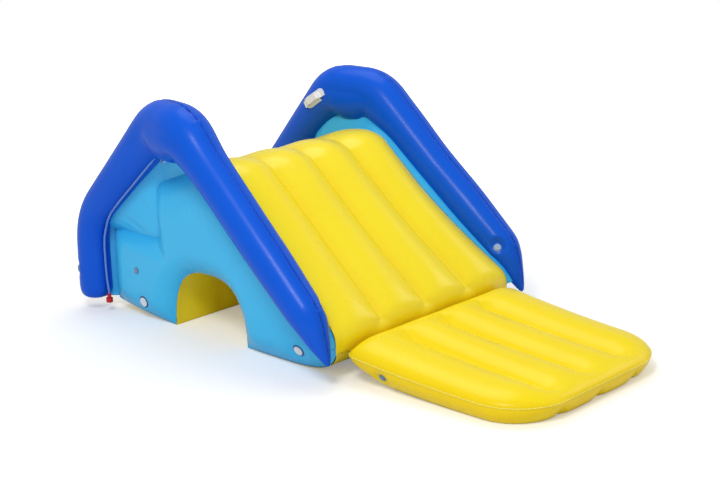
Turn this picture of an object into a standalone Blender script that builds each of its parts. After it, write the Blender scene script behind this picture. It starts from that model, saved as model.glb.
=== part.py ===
"""Inflatable pool slide: air-filled body over a cross tunnel, two side rails and a fold-up run-out mat.

Metres, +Z up. +X points down the slide to the run-out mat, -Y is the rider's right-hand side.
The origin is on the floor, under the middle of the overall length and width.
"""
import bisect
import math

import bmesh
import bpy
from mathutils import Matrix, Vector
from mathutils.bvhtree import BVHTree

# Clearance between pieces that touch
GAP = 0.0003

# Side profile of the body: places along X and heights
REAR_X = -1.095
STEP_X = -0.785
PEAK_X = -0.480
BEND_X = -0.360
MID_SLOPE_X = 0.0
TOE_X = 0.308
HEEL_Z = 0.045
STEP_Z = 0.370
RISER_TOP_Z = 0.562
SHOULDER_Z = 0.615
CREST_Z = 0.727
MID_SLOPE_Z = 0.418
BROW_Z = 0.190
TOE_Z = 0.118
BODY_HALF_WIDTH = 0.472

# How far each corner of the sliding surface is rounded back
SHOULDER_CUT = 0.042
PEAK_CUT = 0.055
CREST_FRONT_CUT = 0.060
MID_SLOPE_CUT = 0.200
TOE_CUT = 0.045

# Walls of the body
DECK_THICKNESS = 0.036
WALL_THICKNESS = 0.026
BASE_THICKNESS = 0.018
LINING_THICKNESS = 0.014
BAFFLE_THICKNESS = 0.004
DECK_LOBE_HEIGHT = 0.030
WALL_LOBE_HEIGHT = 0.016
DECK_REAR_FADE = 0.050
DECK_TOE_FADE = 0.130
WALL_FADE = 0.060
LONGEST_STEP = 0.085
LOBES = 4
LOBE_STEPS = 6

# Cross tunnel that stands over a soft pool wall
TUNNEL_REAR_X = -0.706
TUNNEL_FRONT_X = -0.254
TUNNEL_HEIGHT = 0.272
ARCH_POWER = 2.6
REAR_BASE_RISE_X = -0.880
FRONT_BASE_RISE_X = 0.170
FRONT_BASE_LOW_SHARES = (0.5, 0.16)
FRONT_BASE_HIGH_SHARES = (0.8, 0.48)
HEEL_MIDWAY_SHARE = 0.33

# Side panels
PANEL_EDGE = 0.014
PANEL_CROWN = 0.040
PANEL_ROUND = 0.100
PANEL_FLOOR_CLEARANCE = 0.004
PANEL_TOP_SHARE = 0.895
REAR_LEG_POWER = 1.6
FRONT_LEG_POWER = 7.0
REAR_SHARES = (0.0, 0.12, 0.35, 0.6, 0.85, 1.0)
TREAD_SHARES = (0.35, 0.7, 1.0)
RISER_SHARES = (0.35, 0.7)
SLOPE_SHARES = (0.0, 0.04, 0.08, 0.16, 0.24, 0.30, 0.35, 0.40, 0.48, 0.57, 0.66, 0.75, 0.84, 0.93, 1.0)
NOSE_SHARES = (0.55, 0.20, -0.10)
ARCH_SHARES = (
    0.0, 0.035, 0.08, 0.13, 0.18, 0.22,
    0.25, 0.28, 0.31, 0.34, 0.37,
    0.39, 0.41, 0.43, 0.46, 0.48, 0.50, 0.52, 0.55, 0.58, 0.62, 0.66, 0.71, 0.76, 0.81, 0.86,
    0.91, 0.96, 1.0,
)
ACROSS_SHARES = (0.0, 0.06, 0.16, 0.3, 0.5, 0.7, 0.84, 0.94, 1.0)

# Side rails: bends of the centre line
RAIL_FOOT_Z = 0.054
RAIL_STRAIGHT_Z = 0.120
RAIL_REAR_X = -1.160
RAIL_REAR_BEND_Z = 0.422
RAIL_TOP_REAR_X = -0.681
RAIL_TOP_REAR_Z = 0.901
RAIL_TOP_FRONT_X = -0.479
RAIL_TOP_FRONT_Z = 0.896
RAIL_SHIN_X = 0.262
RAIL_SHIN_Z = 0.228
RAIL_TIP_X = 0.313
RAIL_TIP_Z = 0.098
RAIL_REAR_OUT = 0.074
RAIL_TOP_REAR_OUT = 0.041
RAIL_TOP_FRONT_OUT = 0.094
RAIL_FRONT_OUT = 0.122
RAIL_REAR_Y = BODY_HALF_WIDTH + RAIL_REAR_OUT
RAIL_TOP_REAR_Y = BODY_HALF_WIDTH + RAIL_TOP_REAR_OUT
RAIL_TOP_FRONT_Y = BODY_HALF_WIDTH + RAIL_TOP_FRONT_OUT
RAIL_FRONT_Y = BODY_HALF_WIDTH + RAIL_FRONT_OUT
RAIL_REAR_RADIUS = 0.071
RAIL_TOP_REAR_RADIUS = 0.099
RAIL_TOP_FRONT_RADIUS = 0.100
RAIL_SHIN_RADIUS = 0.066
RAIL_REAR_CUT = 0.130
RAIL_TOP_REAR_CUT = 0.090
RAIL_TOP_FRONT_CUT = 0.105
FOOT_HEIGHT_SHARES = (0.0, 0.07, 0.22, 0.5)
FOOT_RADIUS_SHARES = (0.34, 0.60, 0.82, 0.96)
TIP_LENGTH_SHARES = (0.45, 0.75, 0.92, 1.0)
TIP_RADIUS_SHARES = (0.84, 0.56, 0.32, 0.12)
RAIL_SIDES_SETTING = 6
WEB_THICKNESS = 0.003
WEB_FIT_GAP = 0.0008
WEB_TUCK = 0.012
WEB_POLE_X = -0.700
WEB_POLE_Z = 0.280

# Run-out mat
MAT_LENGTH = 0.862
MAT_PROUD = 0.033
MAT_TAPER = 0.043
MAT_HALF_WIDTH = BODY_HALF_WIDTH + MAT_PROUD
MAT_FRONT_HALF_WIDTH = MAT_HALF_WIDTH - MAT_TAPER
MAT_GROOVE_SHARE = 0.457
MAT_GROOVE_Y = MAT_HALF_WIDTH * MAT_GROOVE_SHARE
MAT_FRONT_SEAM_Z = 0.070
MAT_REAR_CROWN = 0.060
MAT_FRONT_CROWN = 0.042
MAT_GROOVE_DEPTH = 0.032
MAT_UNDER_CROWN = 0.130
MAT_UNDER_ROUND = 0.200
MAT_FRONT_CORNER = 0.225
MAT_REAR_CORNER = 0.050
MAT_EDGE_ROUND = 0.115
MAT_FRONT_ROUND = 0.190
MAT_REAR_ROUND = 0.085
MAT_GROOVE_FADE = 0.120
MAT_SHARES = (0.0, 0.02, 0.06, 0.12, 0.22, 0.34, 0.46, 0.58, 0.70, 0.80, 0.87, 0.93, 0.97, 0.99, 1.0)

# Joint between the body and the mat: two weld flanges, one lying on the other
HINGE_STANDOFF = 0.010
FLANGE_OVERLAP = 0.010
FLANGE_THICKNESS = 0.002
FLANGE_INSET = 0.022
FLANGE_HALF_WIDTH = BODY_HALF_WIDTH - FLANGE_INSET
MAT_REAR_SEAM_Z = TOE_Z + FLANGE_THICKNESS / 2.0
MAT_SEAM_STANDOFF = 0.014
DRAIN_SLOT_LENGTH = 0.040
DRAIN_SLOT_WIDTH = 0.0036
DRAIN_SLOT_PITCH = 0.216

# Grab handles on the inner side of the rails
HANDLE_X = -0.735
HANDLE_TILT_DEGREES = 32.0
HANDLE_LENGTH = 0.142
HANDLE_WIDTH = 0.054
HANDLE_PAD = 0.0035
HANDLE_PAD_SINK = 0.012
GRIP_HEIGHT = 0.026
GRIP_THICKNESS = 0.006
GRIP_WIDTH = 0.030
GRIP_FOOT = 0.016
GRIP_BEND_SHARE = 1.6
GRIP_CUT = 0.010

# Inflation valves
VALVE_RADIUS = 0.0160
VALVE_HEIGHT = 0.0090
VALVE_SUNK = 0.0065
VALVE_BORE_RADIUS = 0.0080
VALVE_BORE_DEPTH = 0.0065
VALVE_CAP_RADIUS = 0.0115
VALVE_CAP_HEIGHT = 0.0030
PANEL_VALVE_X = -0.892
PANEL_VALVE_Z = 0.221
RAIL_REAR_VALVE_Z = 0.192
RAIL_FRONT_VALVE_X = 0.225
RAIL_FRONT_VALVE_Z = 0.262
REAR_VALVE_AIM_SHARES = (-1.0, 1.74, 0.0)
FRONT_VALVE_AIM_SHARES = (0.15, -0.425, 0.225)
MAT_VALVE_X = 0.500
MAT_VALVE_Z = 0.055

# Ballast ports near the bottom of each leg
PORT_RADIUS = 0.0270
PORT_HEIGHT = 0.0090
PORT_SUNK = 0.0070
PORT_BORE_RADIUS = 0.0180
PORT_BORE_DEPTH = 0.0060
PLUG_CAP_RADIUS = 0.0210
PLUG_CAP_HEIGHT = 0.0030
REAR_PORT_X = -0.862
FRONT_PORT_X = 0.094
PORT_Z = 0.084

# Sprinkler line along the right-hand rail
HOSE_RADIUS = 0.0045
HOSE_START_Z = 0.130
HOSE_LOW_Z = 0.086
HOSE_LEAN_DEGREES = 16.0
HOSE_CLEARANCE = 0.0012
HOSE_STATIONS = 22
NOZZLE_X = -0.600
NOZZLE_CLEARANCE = 0.0008
NOZZLE_HEAD_RADIUS = 0.0110
NOZZLE_HEAD_LENGTH = 0.0100
NOZZLE_SHAFT_RADIUS = 0.0050
NOZZLE_FLANGE_RADIUS = 0.0090
NOZZLE_FLANGE_LENGTH = 0.0040
COUPLING_RADIUS = 0.0085
COUPLING_LENGTH = 0.0420
NUT_RADIUS = 0.0150
NUT_LENGTH = 0.0190
NUT_LIP = 0.0030

SIDES = (("right", -1), ("left", 1))
ROUND_STEPS = 24

ROYAL_BLUE = (0.004, 0.065, 0.56)
SKY_BLUE = (0.09, 0.45, 0.83)
DECK_YELLOW = (0.90, 0.73, 0.018)
MAT_YELLOW = (0.95, 0.76, 0.008)
WHITE = (0.85, 0.86, 0.88)
CLEAR_GREY = (0.62, 0.66, 0.72)
NAVY = (0.01, 0.03, 0.16)
HOSE_LILAC = (0.42, 0.47, 0.80)
COUPLING_RED = (0.60, 0.015, 0.02)


def start_scene():
    """Empty the scene and make the collections for the parts and the cutters."""
    for item in list(bpy.data.objects):
        bpy.data.objects.remove(item, do_unlink=True)
    parts = bpy.data.collections.new("inflatable_water_slide")
    cutters = bpy.data.collections.new("cutters")
    bpy.context.scene.collection.children.link(parts)
    bpy.context.scene.collection.children.link(cutters)
    return parts, cutters


def make_material(name, colour, roughness):
    material = bpy.data.materials.new(name)
    material.use_nodes = True
    shader = material.node_tree.nodes["Principled BSDF"]
    shader.inputs["Base Color"].default_value = (*colour, 1.0)
    shader.inputs["Roughness"].default_value = roughness
    shader.inputs["Metallic"].default_value = 0.0
    return material


def add_object(name, data, colour, roughness=0.3):
    """Put a mesh or curve in the parts collection with a material of its own."""
    item = bpy.data.objects.new(name, data)
    PARTS.objects.link(item)
    data.materials.append(make_material(name + "_vinyl", colour, roughness))
    return item


def add_cutter(name, data):
    item = bpy.data.objects.new(name, data)
    CUTTERS.objects.link(item)
    item.hide_render = True
    item.display_type = "WIRE"
    return item


def finish_mesh(name, mesh_edit, smooth_degrees=50.0):
    """Merge doubles, turn the faces outwards and hand back a smooth-shaded mesh."""
    bmesh.ops.remove_doubles(mesh_edit, verts=mesh_edit.verts, dist=GAP * 0.1)
    bmesh.ops.dissolve_degenerate(mesh_edit, edges=mesh_edit.edges, dist=GAP * 0.1)
    bmesh.ops.recalc_face_normals(mesh_edit, faces=mesh_edit.faces)
    mesh = bpy.data.meshes.new(name)
    mesh_edit.to_mesh(mesh)
    mesh_edit.free()
    mesh.shade_smooth()
    mesh.set_sharp_from_angle(angle=math.radians(smooth_degrees))
    return mesh


def mesh_of(item):
    """Plain mesh of an object as it stands, with loose caps welded on."""
    bpy.context.view_layer.update()
    seen = item.evaluated_get(bpy.context.evaluated_depsgraph_get())
    mesh = bpy.data.meshes.new_from_object(seen)
    mesh_edit = bmesh.new()
    mesh_edit.from_mesh(mesh)
    bmesh.ops.remove_doubles(mesh_edit, verts=mesh_edit.verts, dist=GAP * 0.1)
    bmesh.ops.recalc_face_normals(mesh_edit, faces=mesh_edit.faces)
    mesh_edit.to_mesh(mesh)
    mesh_edit.free()
    return mesh


def cut(item, cutter):
    """Cut one mesh object with a cutter, as a live modifier."""
    boolean = item.modifiers.new(cutter.name, "BOOLEAN")
    boolean.operation = "DIFFERENCE"
    boolean.solver = "EXACT"
    boolean.object = cutter


def rounded(corners, cuts, steps=4):
    """Polyline whose inner corners are rounded back by the given distances."""
    points = [Vector(corners[0])]
    for before, corner, after, size in zip(corners, corners[1:], corners[2:], cuts):
        corner = Vector(corner)
        back = (Vector(before) - corner).normalized() * size
        ahead = (Vector(after) - corner).normalized() * size
        for step in range(steps + 1):
            share = step / steps
            points.append(corner + back * (1.0 - share) ** 2 + ahead * share ** 2)
    points.append(Vector(corners[-1]))
    return points


def refined(points, longest):
    """The same polyline with its long straight stretches divided."""
    result = [points[0]]
    for start, end in zip(points, points[1:]):
        count = max(1, math.ceil((end - start).length / longest))
        for step in range(1, count + 1):
            result.append(start.lerp(end, step / count))
    return result


def lengths(points):
    """Distance along a polyline up to each of its points."""
    travelled = [0.0]
    for start, end in zip(points, points[1:]):
        travelled.append(travelled[-1] + (end - start).length)
    return travelled


def along(points, share):
    """Point at a share of a polyline's length."""
    travelled = lengths(points)
    place = share * travelled[-1]
    index = min(max(bisect.bisect_right(travelled, place), 1), len(points) - 1)
    span = travelled[index] - travelled[index - 1]
    return points[index - 1].lerp(points[index], (place - travelled[index - 1]) / span)


def outward_normals(points):
    """Unit normals on the left of a side-view polyline, which is the body's outside."""
    normals = []
    for index in range(len(points)):
        before = points[max(index - 1, 0)]
        after = points[min(index + 1, len(points) - 1)]
        tangent = (after - before).normalized()
        normals.append(Vector((-tangent.y, tangent.x)))
    return normals


def shifted(points, distance):
    return [point + normal * distance for point, normal in zip(points, outward_normals(points))]


def swell(distance, size):
    """0 at a seam, rising like a quarter ellipse to 1 at a distance from it."""
    rest = 1.0 - min(max(distance / size, 0.0), 1.0)
    return math.sqrt(1.0 - rest * rest)


def soft_swell(distance, size):
    """0 at a seam, rising like a parabola to 1 at a distance from it."""
    rest = 1.0 - min(max(distance / size, 0.0), 1.0)
    return 1.0 - rest * rest


def lobe_places(edges):
    """Places across the width, each with how high its lobe stands there."""
    places = []
    for low, high in zip(edges, edges[1:]):
        for step in range(LOBE_STEPS):
            share = step / LOBE_STEPS
            places.append((low + (high - low) * share, 1.0 - (2.0 * share - 1.0) ** 2))
    places.append((edges[-1], 0.0))
    return places


def loft(name, rings):
    """Closed skin through rings of equal count, with a flat cap at each end."""
    mesh_edit = bmesh.new()
    rows = [[mesh_edit.verts.new(point) for point in ring] for ring in rings]
    count = len(rows[0])
    for row, after in zip(rows, rows[1:]):
        for index in range(count):
            following = (index + 1) % count
            mesh_edit.faces.new((row[index], row[following], after[following], after[index]))
    mesh_edit.faces.new(rows[0])
    mesh_edit.faces.new(rows[-1])
    return finish_mesh(name, mesh_edit)


def two_sided(name, front, back):
    """Closed skin of two grids of points that are joined around their edges."""
    mesh_edit = bmesh.new()
    grids = []
    for grid in (front, back):
        grids.append([[mesh_edit.verts.new(point) for point in row] for row in grid])
    rows = len(front)
    columns = len(front[0])
    for grid in grids:
        for i in range(rows - 1):
            for j in range(columns - 1):
                mesh_edit.faces.new((grid[i][j], grid[i + 1][j], grid[i + 1][j + 1], grid[i][j + 1]))
    edge = [(i, 0) for i in range(rows)]
    edge += [(rows - 1, j) for j in range(1, columns)]
    edge += [(i, columns - 1) for i in range(rows - 2, -1, -1)]
    edge += [(0, j) for j in range(columns - 2, 0, -1)]
    for (i, j), (k, m) in zip(edge, edge[1:] + edge[:1]):
        if (Vector(front[i][j]) - Vector(back[i][j])).length > GAP * 0.1:
            mesh_edit.faces.new((grids[0][i][j], grids[0][k][m], grids[1][k][m], grids[1][i][j]))
    return finish_mesh(name, mesh_edit)


def lobed_slab(name, path, thickness, lobe_height, fades, rise, flat_start=0.0):
    """Yellow wall along a side-view path, swollen into lobes across its width.

    The lobes fade out over the given lengths at the path's start and end.
    """
    start_fade, end_fade = fades
    pitch = 2.0 * BODY_HALF_WIDTH / LOBES
    places = lobe_places([pitch * index - BODY_HALF_WIDTH for index in range(LOBES + 1)])
    travelled = lengths(path)
    rings = []
    for point, normal, place in zip(path, outward_normals(path), travelled):
        height = lobe_height * rise(place - flat_start, start_fade)
        height *= rise(travelled[-1] - place, end_fade)
        ring = []
        for y, lobe in places:
            outside = point + normal * (height * lobe)
            ring.append((outside.x, y, outside.y))
        inside = point - normal * thickness
        for index in range(LOBES, -1, -1):
            ring.append((inside.x, pitch * index - BODY_HALF_WIDTH, inside.y))
        rings.append(ring)
    return add_object(name, loft(name, rings), DECK_YELLOW)


def outline_solid(name, outline, half_width, colour, y=0.0, holes=()):
    """Flat side-view outline drawn as a filled curve and extruded across the body."""
    curve = bpy.data.curves.new(name, "CURVE")
    curve.dimensions = "2D"
    curve.fill_mode = "BOTH"
    curve.extrude = half_width
    for loop in (outline, *holes):
        spline = curve.splines.new("POLY")
        spline.points.add(len(loop) - 1)
        for place, point in zip(spline.points, loop):
            place.co = (point[0], point[1], 0.0, 1.0)
        spline.use_cyclic_u = True
    item = add_object(name, curve, colour)
    item.rotation_euler = (math.radians(90.0), 0.0, 0.0)
    item.location = (0.0, y, 0.0)
    return item


def band(path, outside, inside):
    """Closed outline between two offsets of a side-view path."""
    return shifted(path, outside) + list(reversed(shifted(path, inside)))


def turned(name, profile, colour, roughness=0.3):
    """Turned piece: a profile from its top centre down its outer side, with a Screw modifier."""
    mesh_edit = bmesh.new()
    corners = [mesh_edit.verts.new((radius, 0.0, height)) for radius, height in profile]
    for start, end in zip(corners, corners[1:]):
        mesh_edit.edges.new((start, end))
    mesh = bpy.data.meshes.new(name)
    mesh_edit.to_mesh(mesh)
    mesh_edit.free()
    item = add_object(name, mesh, colour, roughness)
    screw = item.modifiers.new("turn", "SCREW")
    screw.steps = ROUND_STEPS
    screw.render_steps = ROUND_STEPS
    screw.use_merge_vertices = True
    screw.merge_threshold = GAP * 0.1
    return item


def place_on(item, point, normal):
    """Stand a turned piece on a point, with its axis along the normal."""
    item.location = point
    item.rotation_mode = "QUATERNION"
    item.rotation_quaternion = Vector(normal).to_track_quat("Z", "Y")


def surface_of(item, start, direction):
    """First point and outward normal that a straight probe meets on an object."""
    mesh = mesh_of(item)
    mesh.transform(item.matrix_world)
    corners = [vertex.co.copy() for vertex in mesh.vertices]
    faces = [tuple(face.vertices) for face in mesh.polygons]
    bpy.data.meshes.remove(mesh)
    point, normal, _, _ = BVHTree.FromPolygons(corners, faces).ray_cast(start, direction.normalized())
    if normal.dot(direction) > 0.0:
        normal = -normal
    return point, normal


def tube_curve(name, points, radii, setting):
    """Curve with a round section whose radius follows the given list, and filled caps."""
    curve = bpy.data.curves.new(name, "CURVE")
    curve.dimensions = "3D"
    curve.bevel_depth = max(radii)
    curve.bevel_resolution = setting
    curve.use_fill_caps = True
    spline = curve.splines.new("POLY")
    spline.points.add(len(points) - 1)
    for place, point, radius in zip(spline.points, points, radii):
        place.co = (*point, 1.0)
        place.radius = radius / curve.bevel_depth
    return curve


def tube_mesh(name, points, radii, setting):
    """The same tube as a closed mesh, so that it can be cut or can cut."""
    guide = bpy.data.objects.new(name, tube_curve(name, points, radii, setting))
    CUTTERS.objects.link(guide)
    mesh = mesh_of(guide)
    bpy.data.objects.remove(guide, do_unlink=True)
    mesh.name = name
    mesh.shade_smooth()
    return mesh


def deck_path():
    """Side view of the sliding surface at its welds, from the top of the riser to the toe."""
    corners = (
        (STEP_X, RISER_TOP_Z),
        (STEP_X, SHOULDER_Z),
        (PEAK_X, CREST_Z),
        (BEND_X, CREST_Z),
        (MID_SLOPE_X, MID_SLOPE_Z),
        (TOE_X, BROW_Z),
        (TOE_X, TOE_Z),
    )
    cuts = (SHOULDER_CUT, PEAK_CUT, CREST_FRONT_CUT, MID_SLOPE_CUT, TOE_CUT)
    return rounded(corners, cuts)


def arch_point(share):
    """Point of the tunnel's arch, from its rear foot at 0 to its front foot at 1."""
    angle = math.pi * share
    half_span = (TUNNEL_FRONT_X - TUNNEL_REAR_X) / 2.0
    middle = (TUNNEL_FRONT_X + TUNNEL_REAR_X) / 2.0
    reach = abs(math.cos(angle)) ** (2.0 / ARCH_POWER)
    x = middle - math.copysign(half_span * reach, math.cos(angle))
    z = TUNNEL_HEIGHT * abs(math.sin(angle)) ** (2.0 / ARCH_POWER)
    return Vector((x, z))


def body_outline():
    """Outer edge of a side panel, from the heel over the crest to the toe."""
    slope = deck_path()
    points = [Vector((REAR_X, HEEL_Z + (STEP_Z - HEEL_Z) * share)) for share in REAR_SHARES]
    points += [Vector((REAR_X + (STEP_X - REAR_X) * share, STEP_Z)) for share in TREAD_SHARES]
    points += [Vector((STEP_X, STEP_Z + (RISER_TOP_Z - STEP_Z) * share)) for share in RISER_SHARES]
    points += [along(slope, share * PANEL_TOP_SHARE) for share in SLOPE_SHARES]
    nose_x = TOE_X - DECK_THICKNESS / 2.0
    points += [Vector((nose_x, TOE_Z + (BROW_Z - TOE_Z) * share)) for share in NOSE_SHARES]
    return points


def rail_path(side):
    """Centre line of a rail from its foot to its tip, with the tube's radius at each point."""
    foot = Vector((RAIL_REAR_X, side * RAIL_REAR_Y, RAIL_STRAIGHT_Z, RAIL_REAR_RADIUS))
    tip = Vector((RAIL_TIP_X, side * RAIL_FRONT_Y, RAIL_TIP_Z, 0.0))
    shin = Vector((RAIL_SHIN_X, side * RAIL_FRONT_Y, RAIL_SHIN_Z, RAIL_SHIN_RADIUS))
    corners = (
        foot,
        (RAIL_REAR_X, side * RAIL_REAR_Y, RAIL_REAR_BEND_Z, RAIL_REAR_RADIUS),
        (RAIL_TOP_REAR_X, side * RAIL_TOP_REAR_Y, RAIL_TOP_REAR_Z, RAIL_TOP_REAR_RADIUS),
        (RAIL_TOP_FRONT_X, side * RAIL_TOP_FRONT_Y, RAIL_TOP_FRONT_Z, RAIL_TOP_FRONT_RADIUS),
        shin,
    )
    cuts = (RAIL_REAR_CUT, RAIL_TOP_REAR_CUT, RAIL_TOP_FRONT_CUT)
    points = []
    for height_share, radius_share in zip(FOOT_HEIGHT_SHARES, FOOT_RADIUS_SHARES):
        height = RAIL_FOOT_Z + (RAIL_STRAIGHT_Z - RAIL_FOOT_Z) * height_share
        points.append(Vector((foot.x, foot.y, height, foot.w * radius_share)))
    points += refined(rounded(corners, cuts), 2.0 * LONGEST_STEP)
    for length_share, radius_share in zip(TIP_LENGTH_SHARES, TIP_RADIUS_SHARES):
        point = shin.lerp(tip, length_share)
        point.w = RAIL_SHIN_RADIUS * radius_share
        points.append(point)
    return points


def nearest_on(path, point):
    """Point of a rail's centre line, with its radius, that lies nearest in the side view."""
    best = None
    for start, end in zip(path, path[1:]):
        run = Vector((end.x - start.x, end.z - start.z))
        offset = Vector((point.x - start.x, point.y - start.z))
        share = min(max(offset.dot(run) / run.dot(run), 0.0), 1.0)
        place = start.lerp(end, share)
        distance = (Vector((place.x, place.z)) - point).length
        if best is None or distance < best[0]:
            best = (distance, place)
    return best[1]


def opposite_on(path, point):
    """Point of a rail's centre line, with its radius, seen past a body point from the web's pole."""
    pole = Vector((WEB_POLE_X, WEB_POLE_Z))
    sight = (point - pole).normalized()
    across = Vector((-sight.y, sight.x))
    best = None
    for start, end in zip(path, path[1:]):
        first = Vector((start.x, start.z)) - pole
        second = Vector((end.x, end.z)) - pole
        before = first.dot(across)
        after = second.dot(across)
        if before * after > 0.0 or before == after:
            continue
        share = before / (before - after)
        reach = first.lerp(second, share).dot(sight)
        if reach > 0.0 and (best is None or reach < best[0]):
            best = (reach, start.lerp(end, share))
    return best[1]


def web_edges(side):
    """Where a web leaves the body, where it meets the rail, and the rail's centre there."""
    outline = body_outline()
    path = rail_path(side)
    low = []
    high = []
    centres = []
    stations = list(zip(outline, outward_normals(outline)))
    for index, (point, normal) in enumerate(stations[1:-len(NOSE_SHARES)]):
        beside_leg = index + 1 < len(REAR_SHARES)
        centre = nearest_on(path, point) if beside_leg else opposite_on(path, point)
        foot = Vector((point.x, side * (BODY_HALF_WIDTH + PANEL_EDGE / 2.0), point.y))
        foot -= Vector((normal.x, 0.0, normal.y)) * WEB_THICKNESS
        away = (foot - centre.to_3d()).normalized()
        low.append(foot)
        high.append(centre.to_3d() + away * (centre.w - WEB_TUCK))
        centres.append(centre)
    return low, high, centres


def build_body():
    """Air chamber of the body: deck, walls, tunnel lining, bases and inner baffles."""
    slope = refined(deck_path(), LONGEST_STEP)
    fades = (DECK_REAR_FADE, DECK_TOE_FADE)
    lobed_slab("slide_deck", slope, DECK_THICKNESS, DECK_LOBE_HEIGHT, fades, swell)
    wall_foot = Vector((REAR_X, HEEL_Z + GAP))
    wall_top = Vector((REAR_X, STEP_Z - WALL_THICKNESS - GAP))
    tread_end = Vector((STEP_X - GAP, STEP_Z))
    riser_foot = Vector((STEP_X, STEP_Z - WALL_THICKNESS))
    riser_top = Vector((STEP_X, RISER_TOP_Z - GAP))
    walls = (
        ("rear_wall", [wall_foot, wall_top], 0.0),
        ("step_tread", [Vector((REAR_X, STEP_Z)), tread_end], 0.0),
        ("crest_riser", [riser_foot, Vector((STEP_X, STEP_Z)), riser_top], WALL_THICKNESS),
    )
    fades = (WALL_FADE, WALL_FADE)
    for name, stations, flat_start in walls:
        path = refined(stations, LONGEST_STEP / 3.0)
        lobed_slab(name, path, WALL_THICKNESS, WALL_LOBE_HEIGHT, fades, soft_swell, flat_start)

    arch = [arch_point(index / ROUND_STEPS) for index in range(ROUND_STEPS + 1)]
    lining = band(arch, LINING_THICKNESS, 0.0)
    for point in lining:
        point.y = max(point.y, PANEL_FLOOR_CLEARANCE)
    outline_solid("tunnel_lining", lining, BODY_HALF_WIDTH, DECK_YELLOW)

    rear_reach = TUNNEL_REAR_X - LINING_THICKNESS - GAP
    front_reach = TUNNEL_FRONT_X + LINING_THICKNESS + GAP
    rear_base = [
        (rear_reach, 0.0),
        (REAR_BASE_RISE_X, 0.0),
        ((REAR_X + REAR_BASE_RISE_X) / 2.0, HEEL_Z * HEEL_MIDWAY_SHARE),
        (REAR_X, HEEL_Z),
        (REAR_X + WALL_THICKNESS, HEEL_Z),
        (REAR_BASE_RISE_X, BASE_THICKNESS),
        (rear_reach, BASE_THICKNESS),
    ]
    outline_solid("rear_base", rear_base, BODY_HALF_WIDTH, DECK_YELLOW)

    toe_end_z = TOE_Z - GAP
    low, high = [
        (FRONT_BASE_RISE_X + (TOE_X - FRONT_BASE_RISE_X) * run_share, toe_end_z * rise_share)
        for run_share, rise_share in (FRONT_BASE_LOW_SHARES, FRONT_BASE_HIGH_SHARES)
    ]
    front_base = [
        (front_reach, 0.0),
        (FRONT_BASE_RISE_X, 0.0),
        low,
        high,
        (TOE_X, toe_end_z),
        (TOE_X - DECK_THICKNESS, toe_end_z),
        (low[0], low[1] + BASE_THICKNESS),
        (FRONT_BASE_RISE_X, BASE_THICKNESS),
        (front_reach, BASE_THICKNESS),
    ]
    outline_solid("front_base", front_base, BODY_HALF_WIDTH, DECK_YELLOW)

    inside = [(rear_reach, BASE_THICKNESS + GAP), (REAR_BASE_RISE_X, BASE_THICKNESS + GAP)]
    inside += [(REAR_X + WALL_THICKNESS + GAP, HEEL_Z + GAP)]
    inside += [(REAR_X + WALL_THICKNESS + GAP, STEP_Z - WALL_THICKNESS - GAP)]
    inside += [(STEP_X + WALL_THICKNESS + GAP, STEP_Z - WALL_THICKNESS - GAP)]
    inside += [(STEP_X + WALL_THICKNESS + GAP, RISER_TOP_Z - GAP)]
    inside += [(STEP_X + DECK_THICKNESS + GAP, RISER_TOP_Z - GAP)]
    under_deck = shifted(slope, -DECK_THICKNESS - GAP)
    inside += [tuple(point) for point in under_deck[1:-2]]
    inside += [(low[0], low[1] + BASE_THICKNESS + GAP)]
    inside += [(FRONT_BASE_RISE_X, BASE_THICKNESS + GAP), (front_reach, BASE_THICKNESS + GAP)]
    over_arch = [point for point in shifted(arch, LINING_THICKNESS + GAP) if point.y > BASE_THICKNESS + GAP]
    inside += [tuple(point) for point in reversed(over_arch)]
    pitch = 2.0 * BODY_HALF_WIDTH / LOBES
    for name, y in (("baffle_right", -pitch), ("baffle_middle", 0.0), ("baffle_left", pitch)):
        outline_solid(name, inside, BAFFLE_THICKNESS / 2.0, SKY_BLUE, y)


def panel_mesh(name, side, margin):
    """Side panel with its crown, lofted from the tunnel's arch out to the body's edge."""
    outline = shifted(body_outline(), margin)
    arch = [arch_point(share) for share in ARCH_SHARES]
    arch[0].y = PANEL_FLOOR_CLEARANCE
    arch[-1].y = PANEL_FLOOR_CLEARANCE
    rows = []
    last = len(outline) - 1
    for index, (start, end) in enumerate(zip(arch, outline)):
        row = []
        for share in ACROSS_SHARES:
            point = start.lerp(end, share)
            if index in (0, last):
                power = FRONT_LEG_POWER if index else REAR_LEG_POWER
                point.y = start.y + (end.y - start.y) * share ** power
            row.append(point)
        rows.append(row)
    front = []
    back = []
    for row in rows:
        span = (row[-1] - row[0]).length
        front_row = []
        for j, (point, share) in enumerate(zip(row, ACROSS_SHARES)):
            end_distance = min((point - rows[0][j]).length, (point - rows[last][j]).length)
            edge_distance = min(share, 1.0 - share) * span
            crown = soft_swell(edge_distance, PANEL_ROUND) * soft_swell(end_distance, PANEL_ROUND)
            y = BODY_HALF_WIDTH + PANEL_EDGE + PANEL_CROWN * crown + margin
            front_row.append((point.x, side * y, point.y))
        front.append(front_row)
        back.append([(point.x, side * (BODY_HALF_WIDTH + GAP - margin), point.y) for point in row])
    return two_sided(name, front, back)


def build_panel(name, side):
    panel = add_object(name, panel_mesh(name, side, 0.0), SKY_BLUE)
    clear = panel_mesh(name + "_clearance", side, WEB_FIT_GAP)
    return panel, add_cutter(name + "_clearance", clear)


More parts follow.
